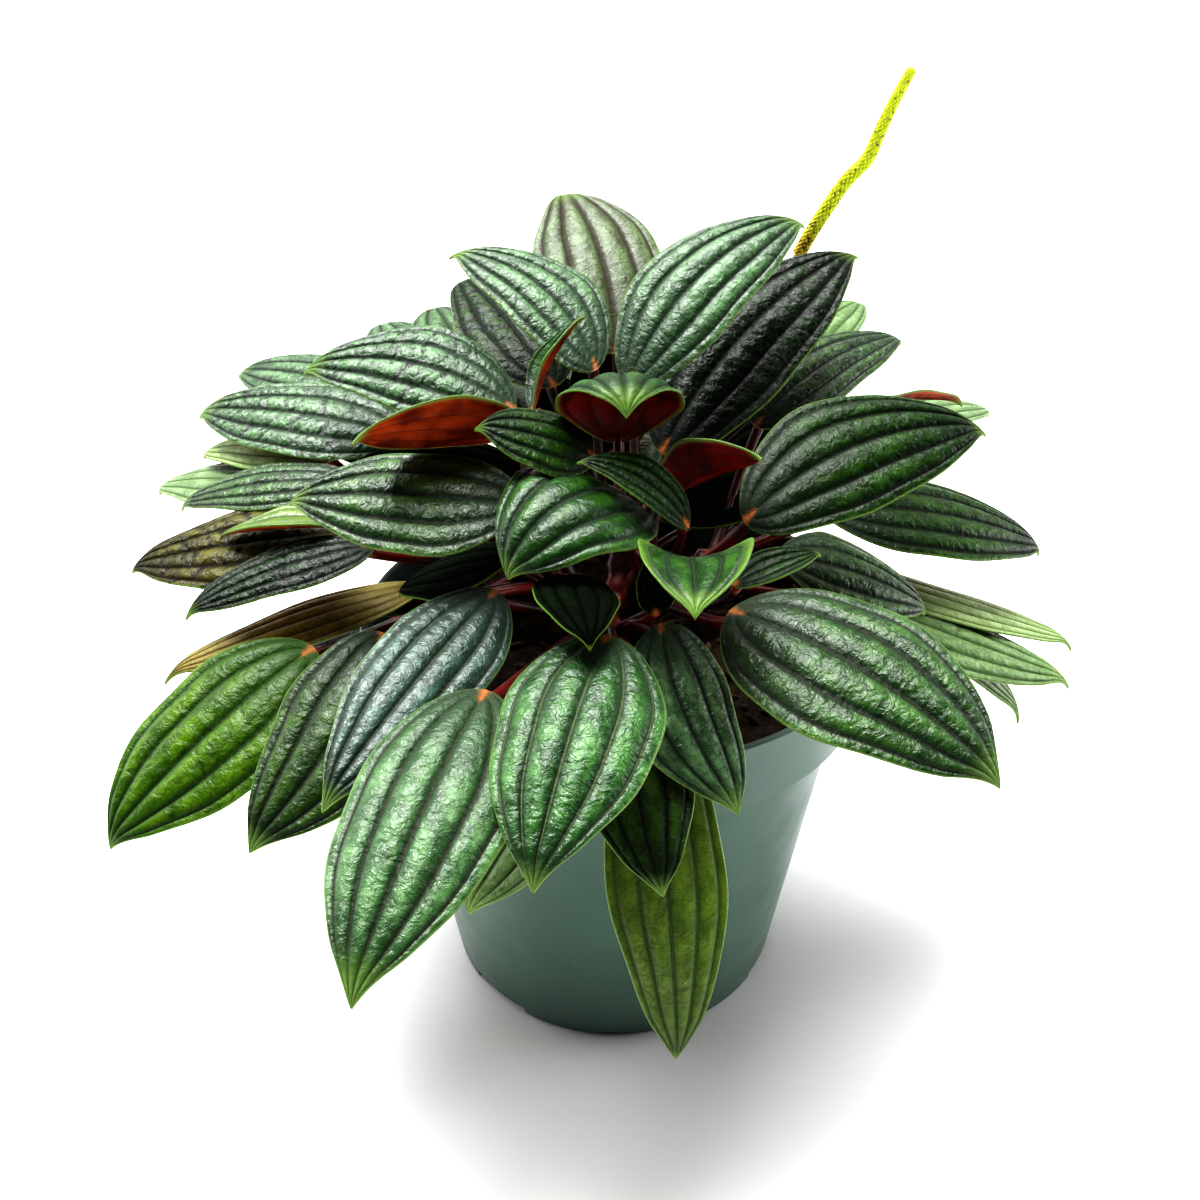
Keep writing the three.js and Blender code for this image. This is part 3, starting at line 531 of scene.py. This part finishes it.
def blade_columns():
    """Places across one half of a blade, closer together beside each vein, with the ridge
    that each lies on and how far over that ridge it is."""
    places, ridges, shares = [], [], []
    ends = (*VEINS[1:], 1)
    for ridge, (start, end, steps) in enumerate(zip(VEINS, ends, RIDGE_STEPS)):
        for step in range(steps):
            share = step / steps
            share -= COLUMN_CROWDING * math.sin(math.tau * share) / math.tau
            places.append(start + (end - start) * share)
            ridges.append(ridge)
            shares.append(share)
    return [*places, 1], [*ridges, len(VEINS) - 1], [*shares, 1]


def ridge_profile(ridges, shares):
    """Height over the ridges, 0 in a vein and 1 on top."""
    end = np.where(ridges == len(VEINS) - 1, EDGE_END, 1.0)
    return np.abs(np.sin(math.pi * shares * end)) ** RIDGE_POWER


def blade_grid(leaf):
    """The upper face as a grid of points, its outward directions and what colours it."""
    half = [np.array(row, float) for row in blade_columns()]
    places, ridges, shares = (np.concatenate([row[:0:-1], row]) for row in half)
    places[: len(half[0]) - 1] *= -1  # the left half
    even = np.linspace(0, 1, max(FEWEST_ROWS, round(leaf.length / ROW_LENGTH)))
    t = (EVENNESS * even + (1 - EVENNESS) * (1 - np.cos(math.pi * even)) / 2)[:, None]
    u = places[None, :]
    side = np.sign(u)
    half_width = leaf.width / 2
    rng = np.random.default_rng(leaf.seed)

    tail = np.clip((t - TAIL_START) / (1 - TAIL_START), 0, 1)
    width_here = outline(t) * half_width * (1 - TAIL_PINCH * tail**2 * (3 - 2 * tail))
    wave = rng.uniform(0, math.tau, 4)
    uneven = 1 + 0.03 * np.sin(7 * t + wave[0]) * side + 0.02 * np.sin(17 * t + wave[1])
    across = u * width_here * uneven
    share = t - BLADE_INSET * np.abs(u) * (1 - t) ** 3
    swing = leaf.bow * leaf.length * 4 * share * (1 - share)
    distance = share * leaf.length
    forward, rise, bend = leaf.midrib(distance)

    profile = np.broadcast_to(ridge_profile(ridges, shares)[None, :], across.shape)
    swell = np.sin(math.pi * np.clip(t, 0, 1)) ** SWELL_POWER
    ridge_shares = np.array(RIDGE_SHARES)[ridges.astype(int)]
    ridge_height = RIDGE_GAIN * RIDGE_HEIGHT * leaf.width * profile * ridge_shares * swell
    hook = np.maximum(0, (t - TIP_HOOK_START) / (1 - TIP_HOOK_START)) ** 2

    # Creases run across each ridge, slanting to the tip, at uneven places and depths.
    lane = ridges[None, :] + 3 * (side < 0)
    offsets = rng.uniform(0, 1, 6)[lane.astype(int)]
    out_from_vein = shares[None, :] * width_here * 0.33
    run = (distance - PUCKER_SLANT * out_from_vein) / PUCKER_PITCH
    run = run + offsets + 0.35 * np.sin(run * 1.7 + wave[2] + lane) + 0.2 * np.sin(run * 0.6 + wave[3])
    phase = run - np.floor(run)
    crease = 1 - np.sin(math.pi * phase) ** 0.55
    depth = 0.6 + 0.4 * np.sin(np.floor(run) * 2.4 + lane * 1.3 + wave[0])
    crease = crease * depth * np.minimum(1, 6 * t * (1 - t)) * leaf.pucker
    pucker = -PUCKER_DEPTH * crease * ridge_height
    sway = EDGE_SWAY * leaf.width / SWAY_WIDTH * np.sin(9 * t + 2.2 * side + wave[1])
    sway = sway * u**2 * swell

    cupped = leaf.cup * across**2 / half_width
    drop = leaf.length * (TIP_HOOK * hook + TAIL_DROP * tail**4)
    lift = cupped + ridge_height + pucker + sway - drop

    along, left, up = (np.array(axis) for axis in (leaf.along, leaf.left, leaf.up))
    out = up * np.cos(bend)[..., None] - along * np.sin(bend)[..., None]
    top = np.array(leaf.base) + along * forward[..., None] + up * rise[..., None]
    top = top + left * (across + swing)[..., None] + out * lift[..., None]
    spot = np.exp(-((np.hypot(t * leaf.length, across) / SPOT_RADIUS) ** 2)) * SPOT_STRENGTH
    shade = {
        "ridge": profile * swell,
        "crease": crease,
        "edge": np.broadcast_to(np.abs(u), across.shape),
        "along": np.broadcast_to(t, across.shape),
        "spot": spot,
    }
    place = np.stack([distance + leaf.seed, across, np.full_like(across, leaf.seed)], -1)
    return top, out, shade, place


def add_blade(leaf, top_material, under_material, nodes):
    top, out, shade, place = blade_grid(leaf)
    rows, columns = top.shape[:2]
    edge = shade["edge"][..., None]
    thickness = BLADE_THICKNESS + (EDGE_THICKNESS - BLADE_THICKNESS) * edge**3
    under = top - out * thickness
    sides = np.array(leaf.left) * EDGE_ROUND
    # A rim point between the faces rounds each edge.
    rims = [(top[:, 0] + under[:, 0]) / 2 - sides, (top[:, -1] + under[:, -1]) / 2 + sides]
    points = np.concatenate([top.reshape(-1, 3), under.reshape(-1, 3), *rims])
    values = {}
    for key, grid in (*shade.items(), ("place", place)):
        flat = grid.reshape(rows * columns, -1)
        at_edges = [grid[:, column].reshape(rows, -1) for column in (0, -1)]
        values[key] = np.concatenate([flat, flat, *at_edges])

    total = rows * columns
    upper = np.arange(total).reshape(rows, columns)
    lower = upper + total
    rim = np.arange(2 * rows).reshape(2, rows) + 2 * total
    faces = []
    for grid, order in ((upper, (0, 3, 2, 1)), (lower, (0, 1, 2, 3))):
        corners = (grid[:-1, :-1], grid[:-1, 1:], grid[1:, 1:], grid[1:, :-1])
        faces.append(np.stack([corners[corner] for corner in order], -1).reshape(-1, 4))
    for side, column in ((0, 0), (1, columns - 1)):
        for first, second in ((upper[:, column], rim[side]), (rim[side], lower[:, column])):
            strip = np.stack([first[:-1], second[:-1], second[1:], first[1:]], -1)
            faces.append(strip if side == 0 else strip[:, ::-1])
    kinds = np.repeat([0, 1, 0, 0, 0, 0], [len(part) for part in faces])
    quads = np.concatenate(faces).tolist()
    materials = [top_material, under_material]
    weld(add_piece(f"{leaf.name}_leaf", points, quads, materials, nodes, kinds, values))


def weld(piece):
    """Closes the base and the tip, where the points of a row meet."""
    mesh = bmesh.new()
    mesh.from_mesh(piece.data)
    bmesh.ops.remove_doubles(mesh, verts=mesh.verts, dist=WELD_DISTANCE * MM)
    bmesh.ops.dissolve_degenerate(mesh, edges=mesh.edges, dist=WELD_DISTANCE * MM)
    bmesh.ops.recalc_face_normals(mesh, faces=mesh.faces)
    mesh.to_mesh(piece.data)
    mesh.free()


# ---- Stems and petioles ----
def bezier(points, share):
    """A point on the Bezier curve through its control points."""
    points = [Vector(point) for point in points]
    while len(points) > 1:
        points = [first.lerp(second, share) for first, second in zip(points, points[1:])]
    return points[0]


def stem_controls(tip):
    foot = (tip[0] * 0.15, tip[1] * 0.15, CROWN_TOP - 4)
    knee = (tip[0] * 0.7, tip[1] * 0.7, CROWN_TOP + 2)
    return [foot, knee, tip]


def nearest_stem(leaf):
    """The stem whose tip is nearest to halfway out to the leaf."""
    return min(STEM_TIPS, key=lambda tip: math.dist(tip[:2], leaf.base.xy / 2))


def root_petiole(leaf, share):
    """Starts a petiole at a share of the way up its stem, on the side it grows to."""
    root = bezier(stem_controls(nearest_stem(leaf)), share)
    side = (leaf.base - root) * Vector((1, 1, 0))
    leaf.root = root + side.normalized() * (STEM_RADIUS / 2)


def root_petioles(leaves):
    """Gives each leaf its place on its stem, the lowest leaf first."""
    for tip in STEM_TIPS:
        group = [leaf for leaf in leaves if nearest_stem(leaf) == tip]
        group.sort(key=lambda leaf: leaf.base.z)
        for rank, leaf in enumerate(group):
            share = (rank + 0.5) / len(group)
            root_petiole(leaf, FIRST_PETIOLE + (LAST_PETIOLE - FIRST_PETIOLE) * share)


def petiole_controls(leaf):
    turn = Quaternion(leaf.left, -leaf.half_arch)
    ahead, under = turn @ leaf.along, turn @ leaf.up
    hang = min(max(-leaf.pitch / HANGING_PITCH, 0), 1)
    arrive = (ahead * (0.6 + 0.3 * hang) + under * (0.8 - 0.4 * hang)).normalized()
    drop = BLADE_THICKNESS + leaf.petiole_radius * math.sqrt(1 - arrive.dot(under) ** 2) - GAP
    end = leaf.base - under * drop
    reach = (end - leaf.root).length
    start = (end - leaf.root) * Vector((1, 1, 0))
    start = (start.normalized() + UP).normalized()
    handles = [leaf.root + start * PETIOLE_BOW * reach, end - arrive * PETIOLE_BOW * reach]
    return [leaf.root, *handles, end]


def tube(centres, radii, sides):
    """Points and faces of a closed round tube through the centres."""
    centres = [Vector(centre) for centre in centres]
    points, faces = [], []
    across = None
    for index, (centre, radius) in enumerate(zip(centres, radii)):
        before, after = centres[max(index - 1, 0)], centres[min(index + 1, len(centres) - 1)]
        ahead = (after - before).normalized()
        if across is None:
            across = ahead.orthogonal().normalized()
        across = (across - ahead * across.dot(ahead)).normalized()
        other = ahead.cross(across)
        for side in range(sides):
            angle = math.tau * side / sides
            points.append(centre + (across * math.cos(angle) + other * math.sin(angle)) * radius)
    for ring in range(len(centres) - 1):
        for side in range(sides):
            here, beside = ring * sides + side, ring * sides + (side + 1) % sides
            faces.append((here, beside, beside + sides, here + sides))
    faces.append(tuple(range(sides))[::-1])
    faces.append(tuple(range(len(points) - sides, len(points))))
    return points, faces


def spline(points, count):
    """Evenly shared points on a smooth curve through the given ones."""
    points = [Vector(point) for point in points]
    places = []
    spans = len(points) - 1
    for step in range(count + 1):
        position = step / count * spans
        span = min(int(position), spans - 1)
        s = position - span
        p1, p2 = points[span], points[span + 1]
        p0 = points[span - 1] if span > 0 else p1 * 2 - p2
        p3 = points[span + 2] if span + 2 <= spans else p2 * 2 - p1
        place = p1 * 2 + (p2 - p0) * s + (p0 * 2 - p1 * 5 + p2 * 4 - p3) * s**2
        places.append((place + (p1 * 3 - p0 - p2 * 3 + p3) * s**3) / 2)
    return places


def add_stems(leaves, material):
    points, faces, along = [], [], []

    def add_tube(centres, radii, sides):
        new_points, new_faces = tube(centres, radii, sides)
        first = len(points)
        points.extend(new_points)
        faces.extend(tuple(first + corner for corner in face) for face in new_faces)
        for ring in range(len(centres)):
            along.extend([ring / (len(centres) - 1)] * sides)

    add_tube([(0, 0, height) for height in CROWN_HEIGHTS], CROWN_RADII, CROWN_SIDES)
    for tip in STEM_TIPS:
        centres = [bezier(stem_controls(tip), step / STEM_STEPS) for step in range(STEM_STEPS + 1)]
        radii = [STEM_RADIUS * (1 + KNOT * math.sin(step * 2.1)) for step in range(STEM_STEPS + 1)]
        radii[-1] *= STEM_END
        add_tube(centres, radii, STEM_SIDES)
    for leaf in leaves:
        controls = petiole_controls(leaf)
        centres, radii = [], []
        for step in range(PETIOLE_STEPS + 1):
            share = step / PETIOLE_STEPS
            centres.append(bezier(controls, share))
            foot = PETIOLE_FOOT * math.exp(-share * 9)
            neck = PETIOLE_NECK * math.exp(-(1 - share) * 14)
            radii.append(leaf.petiole_radius * (PETIOLE_WAIST + foot + neck))
        add_tube(centres, radii, PETIOLE_SIDES)
    radii = [STALK_RADIUS * (1.1 - 0.2 * step / STALK_STEPS) for step in range(STALK_STEPS + 1)]
    add_tube(spline(STALK_POINTS, STALK_STEPS), radii, STALK_SIDES)
    add_piece("stalks", points, faces, [material], ["stems"], values={"along": along})


# ---- Flower spike ----
def add_spike(material):
    """The spike, its surface packed with tiny round flowers in crossing spirals."""
    centres = spline(SPIKE_POINTS, SPIKE_RINGS)
    points, faces = tube(centres, [1] * (SPIKE_RINGS + 1), SPIKE_SIDES)
    heights, along = [], []
    for ring, centre in enumerate(centres):
        share = ring / SPIKE_RINGS
        past_end = max(0.0, (share - SPIKE_END) / (1 - SPIKE_END))
        end = max(math.sqrt(max(0.0, 1 - past_end**2)), SPIKE_END_RADIUS)
        thick = (1 - SPIKE_TAPER * share**3) * end
        climb = share * FLOWERS_ALONG
        for side in range(SPIKE_SIDES):
            turn = side / SPIKE_SIDES * FLOWERS_ROUND
            flower = abs(math.cos(math.pi * (turn + climb / 2)) * math.cos(math.pi * (turn - climb / 2)))
            height = flower**FLOWER_POWER
            radius = (SPIKE_RADIUS - FLOWER_FOOT + FLOWER_HEIGHT * height) * thick
            index = ring * SPIKE_SIDES + side
            points[index] = centre + (points[index] - centre) * radius
            heights.append(height)
            along.append(share)
    values = {"ridge": heights, "along": along}
    add_piece("spike", points, faces, [material], ["flower_spike"], values=values)


# ---- Pot ----
def ring_points(radius, height, count):
    """Points evenly round the Z axis."""
    turns = [math.tau * step / count for step in range(count)]
    return [(radius * math.cos(turn), radius * math.sin(turn), height) for turn in turns]


def lathe(profile, segments):
    """Points and faces of a profile turned about the Z axis."""
    points, faces, rings = [], [], []
    for radius, height in profile:
        if radius == 0:
            rings.append([len(points)])
            points.append((0, 0, height))
            continue
        rings.append(list(range(len(points), len(points) + segments)))
        points.extend(ring_points(radius, height, segments))
    for lower, upper in zip(rings, rings[1:]):
        for segment in range(segments):
            after = (segment + 1) % segments
            if len(lower) == 1:
                faces.append((lower[0], upper[after], upper[segment]))
            elif len(upper) == 1:
                faces.append((lower[segment], lower[after], upper[0]))
            else:
                faces.append((lower[segment], lower[after], upper[after], upper[segment]))
    return points, faces


COLLAR_BOTTOM = POT_HEIGHT - COLLAR_HEIGHT
WALL_TOP_RADIUS = POT_RIM_RADIUS - COLLAR_STEP - POT_EDGE


def wall_radius(height):
    return POT_BASE_RADIUS + (WALL_TOP_RADIUS - POT_BASE_RADIUS) * height / COLLAR_BOTTOM


def rounded(before, corner, after, size, steps=5):
    """Points round a profile's corner, between its two neighbours."""
    before, corner, after = (Vector((*point, 0)) for point in (before, corner, after))
    start = corner + (before - corner).normalized() * size
    end = corner + (after - corner).normalized() * size
    return [bezier([start, corner, end], step / steps)[:2] for step in range(steps + 1)]


def add_pot(material):
    inside = POT_RIM_RADIUS - POT_WALL
    corners = [  # radius, height and how round
        (0, 0, 0),
        (POT_BASE_RADIUS, 0, 1.1),
        (WALL_TOP_RADIUS, COLLAR_BOTTOM, 0.35),
        (POT_RIM_RADIUS - POT_EDGE, COLLAR_BOTTOM, 0.7),
        (POT_RIM_RADIUS, POT_HEIGHT, 0.6),
        (inside, POT_HEIGHT, 0.5),
        (inside - POT_EDGE, COLLAR_BOTTOM + 2 * POT_WALL, 0.8),
        (WALL_TOP_RADIUS - POT_WALL, COLLAR_BOTTOM, 1),
        (POT_BASE_RADIUS - POT_WALL, POT_WALL, 1),
        (0, POT_WALL, 0),
    ]
    profile = [corners[0][:2]]
    for before, (*corner, size), after in zip(corners, corners[1:], corners[2:]):
        profile.extend(rounded(before[:2], corner, after[:2], size))
    profile.append(corners[-1][:2])
    points, faces = lathe(profile, POT_SEGMENTS)
    pot = add_piece("nursery_pot", points, faces, [material], ["pot"])
    for azimuth in DRAIN_AZIMUTHS:
        cutter = bpy.data.meshes.new("notch")
        cutter.from_pydata(*box_corners(2 * DRAIN_DEPTH, DRAIN_WIDTH, 2 * DRAIN_HEIGHT))
        turn = Matrix.Rotation(math.radians(azimuth), 4, "Z")
        cutter.transform(turn @ Matrix.Translation((POT_BASE_RADIUS * MM, 0, 0)))
        notch = add_object("notch", cutter)
        cut = pot.modifiers.new("cut", "BOOLEAN")
        cut.operation, cut.object, cut.solver = "DIFFERENCE", notch, "EXACT"
        apply_modifiers(pot)
        bpy.data.objects.remove(notch)
    pot.data.polygons.foreach_set("use_smooth", [True] * len(pot.data.polygons))
    pot.data.set_sharp_from_angle(angle=math.radians(POT_SHARP_ANGLE))


def box_corners(length, width, height):
    x, y, z = length / 2 * MM, width / 2 * MM, height / 2 * MM
    corners = [(sx * x, sy * y, sz * z) for sx in (-1, 1) for sy in (-1, 1) for sz in (-1, 1)]
    sides = [(0, 1, 3, 2), (4, 6, 7, 5), (0, 4, 5, 1), (2, 3, 7, 6), (0, 2, 6, 4), (1, 5, 7, 3)]
    return corners, [], sides


def apply_modifiers(piece):
    """Gives the piece the mesh that its modifiers make of it."""
    scene_state = bpy.context.evaluated_depsgraph_get()
    changed = bpy.data.meshes.new_from_object(piece.evaluated_get(scene_state))
    piece.modifiers.clear()
    piece.data = changed


# ---- Soil ----
def soil_height(x, y):
    share = math.hypot(x, y) / POT_RIM_RADIUS
    small = math.sin(x * 0.55 + 1.3) * math.cos(y * 0.47)
    broad = 0.6 * math.sin(x * 0.21 - y * 0.38)
    return SOIL_EDGE_HEIGHT + SOIL_MOUND * (1 - share**2) + SOIL_LUMP * (small + broad)


def add_soil(material):
    """The mound with its crumbs, then its side and foot a little inside the pot's."""
    edge = POT_RIM_RADIUS - POT_WALL - POT_EDGE - GAP
    rng = np.random.default_rng(SOIL_SEED)
    points = [(0, 0, soil_height(0, 0))]
    for ring in range(1, SOIL_RINGS + 1):
        for x, y, _ in ring_points(edge * ring / SOIL_RINGS, 0, SOIL_SIDES):
            crumb = rng.normal(0, SOIL_CRUMB) if ring < SOIL_RINGS else 0
            points.append((x, y, soil_height(x, y) + crumb))
    below = [
        (edge - GAP, COLLAR_BOTTOM + 2 * POT_WALL + GAP),
        (WALL_TOP_RADIUS - POT_WALL - 2 * GAP, COLLAR_BOTTOM - GAP),
        (wall_radius(POT_WALL + GAP) - POT_WALL - 2 * GAP, POT_WALL + GAP),
    ]
    for radius, height in below:
        points.extend(ring_points(radius, height, SOIL_SIDES))
    faces = [(0, 1 + side, 1 + (side + 1) % SOIL_SIDES) for side in range(SOIL_SIDES)]
    for ring in range(SOIL_RINGS + len(below) - 1):
        first = 1 + ring * SOIL_SIDES
        for side in range(SOIL_SIDES):
            here, beside = first + side, first + (side + 1) % SOIL_SIDES
            faces.append((here, here + SOIL_SIDES, beside + SOIL_SIDES, beside))
    faces.append(tuple(range(len(points) - SOIL_SIDES, len(points)))[::-1])
    add_piece("potting_soil", points, faces, [material], ["soil"])


def pebble(rng, size, stretch):
    """A small rough lump round the origin: an icosahedron with shifted corners."""
    golden = (1 + math.sqrt(5)) / 2
    corners = []
    for a, b in ((1, golden), (-1, golden), (1, -golden), (-1, -golden)):
        corners.extend([(a, b, 0), (0, a, b), (b, 0, a)])
    corners = np.array(corners, float)
    corners /= np.linalg.norm(corners[0])
    corners *= size * rng.uniform(0.75, 1.2, (12, 1)) * np.array(stretch)
    axis = Vector(rng.normal(size=3)).normalized()
    turn = np.array(Quaternion(axis, rng.uniform(0, 6.3)).to_matrix())
    return corners @ turn.T


def add_bark(material):
    """Bits of bark that lie on the soil, half sunk, scattered by a seeded draw."""
    rng = np.random.default_rng(BARK_SEED)
    mesh = bmesh.new()
    for _ in range(BARK_BITS):
        radius = (POT_RIM_RADIUS - BARK_INSET) * math.sqrt(rng.uniform(0.04, 1))
        angle = rng.uniform(0, math.tau)
        x, y = radius * math.cos(angle), radius * math.sin(angle)
        scale = BARK_SIZE * rng.uniform(0.5, 1.2)
        lump = pebble(rng, scale, BARK_STRETCH) + (x, y, soil_height(x, y) + BARK_LIFT * scale)
        corners = [mesh.verts.new(corner) for corner in lump]
        hull = bmesh.ops.convex_hull(mesh, input=corners)
        spare = [item for item in hull["geom_interior"] if isinstance(item, bmesh.types.BMVert)]
        bmesh.ops.delete(mesh, geom=spare, context="VERTS")
    mesh.verts.index_update()
    points = [tuple(corner.co) for corner in mesh.verts]
    faces = [tuple(corner.index for corner in face.verts) for face in mesh.faces]
    mesh.free()
    add_piece("bark", points, faces, [material], [])


# ---- Stage, in metres ----
FLOOR_REACH = 6
WALL_RADIUS, WALL_HEIGHT, WALL_FOOT, WALL_SIDES = 5.5, 12, -1, 48
TENT_DIM = 0.07
# Bright panels of the tent: direction, cosine where each starts and is full, strength.
TENT_PANELS = [
    ((-0.15, 0.3, 0.94), 0.88, 0.95, 11),
    ((-0.9, 0.3, 0.35), 0.9, 0.96, 3.5),
    ((0.92, 0.25, 0.3), 0.92, 0.97, 5),
    ((0, 1, 0.2), 0.3, 0.85, 0.8),
]
LAMP_PLACE, LAMP_TARGET, LAMP_SIDE, LAMP_POWER = (-0.45, 0.35, 1.1), (0, 0, 0.1), 0.35, 8
CAMERA_PLACE, CAMERA_PITCH, CAMERA_YAW = (-0.001, -0.22, 0.222), -30.8, -0.61
CAMERA_LENS, CAMERA_SENSOR, CAMERA_NEAREST = 36, 36, 0.01


def add_stage(name, points, faces, material):
    mesh = bpy.data.meshes.new(name)
    mesh.from_pydata(points, [], faces)
    mesh.materials.append(material)
    made = add_object(name, mesh)
    return made


def add_floor():
    material, _ = new_material("pale_floor", Roughness=0.7, Base_Color=(0.9, 0.9, 0.9, 1))
    signs = ((-1, -1), (1, -1), (1, 1), (-1, 1))
    corners = [(FLOOR_REACH * x, FLOOR_REACH * y, 0) for x, y in signs]
    add_stage("floor", corners, [(0, 1, 2, 3)], material)


def add_backdrop():
    """A white wall round the floor, far out, which neither lights nor shades the plant."""
    material, tree = new_material("white_wall")
    glow = node(tree, "ShaderNodeEmission", {"Color": (1, 1, 1, 1), "Strength": 1})
    tree.links.new(glow.outputs[0], tree.nodes["Material Output"].inputs["Surface"])
    profile = [(WALL_RADIUS, WALL_FOOT), (WALL_RADIUS, WALL_HEIGHT), (0, WALL_HEIGHT)]
    wall = add_stage("backdrop", *lathe(profile, WALL_SIDES), material)
    for ray in ("diffuse", "glossy", "transmission", "shadow"):
        setattr(wall, f"visible_{ray}", False)


def add_lamp():
    """A soft lamp high behind the plant."""
    light = bpy.data.lights.new("key", "AREA")
    light.shape = "RECTANGLE"
    light.size = light.size_y = LAMP_SIDE
    light.energy = LAMP_POWER
    lamp = add_object("key", light)
    lamp.location = LAMP_PLACE
    ahead = Vector(LAMP_TARGET) - Vector(LAMP_PLACE)
    lamp.rotation_euler = ahead.to_track_quat("-Z", "Y").to_euler()


def add_world():
    """A white tent: bright overhead and behind the plant, dim on the camera's side."""
    world = bpy.data.worlds.new("studio")
    world.use_nodes = True
    tree = world.node_tree
    way = node(tree, "ShaderNodeTexCoord").outputs["Generated"]
    strength = TENT_DIM
    for direction, start, full, power in TENT_PANELS:
        facing = Vector(direction).normalized()
        cosine = node(tree, "ShaderNodeVectorMath", {0: way, 1: facing}, operation="DOT_PRODUCT")
        panel = ramp(tree, cosine.outputs["Value"], start, full, 0.0, power)
        strength = maths(tree, "ADD", panel, strength)
    tree.links.new(strength, tree.nodes["Background"].inputs["Strength"])
    tree.nodes["Background"].inputs["Color"].default_value = (1, 1, 1, 1)
    bpy.context.scene.world = world


def add_camera():
    camera_data = bpy.data.cameras.new("camera")
    camera_data.sensor_width = CAMERA_SENSOR
    camera_data.lens = CAMERA_LENS
    camera_data.clip_start = CAMERA_NEAREST
    camera = add_object("camera", camera_data)
    camera.location = CAMERA_PLACE
    camera.rotation_euler = (math.radians(90 + CAMERA_PITCH), 0, math.radians(-CAMERA_YAW))
    bpy.context.scene.camera = camera


# ---- The whole object ----
add_camera()
leaves, inner_leaves = all_leaves(), leaves_of(INNER_LEAVES)
root_petioles(leaves)
for leaf in inner_leaves:
    root_petiole(leaf, INNER_PETIOLE)
blade_materials = {name: blade_material(name, *look) for name, look in LOOKS.items()}
# Painted light: this underside is a lit, more orange copy of the crimson one.
lit_amber = underside_material("leaf_under_lit_amber", (104, 26, 3), (168, 66, 16))
crimson = underside_material("leaf_under_crimson", (60, 5, 2), (116, 14, 6))
for leaf in leaves:
    under = lit_amber if leaf.name in LIT_AMBER_LEAVES else crimson
    add_blade(leaf, blade_materials[leaf.look], under, [f"leaf_{leaf.name}"])
for leaf in inner_leaves:
    add_blade(leaf, blade_materials[leaf.look], crimson, [])
add_stems(leaves + inner_leaves, stem_material())
add_spike(spike_material())
add_pot(pot_material())
add_soil(soil_material())
add_bark(bark_material())

add_floor()
add_backdrop()
add_world()
add_lamp()
bpy.context.scene.view_settings.view_transform = "Standard"
bpy.context.scene.view_settings.look = "High Contrast"
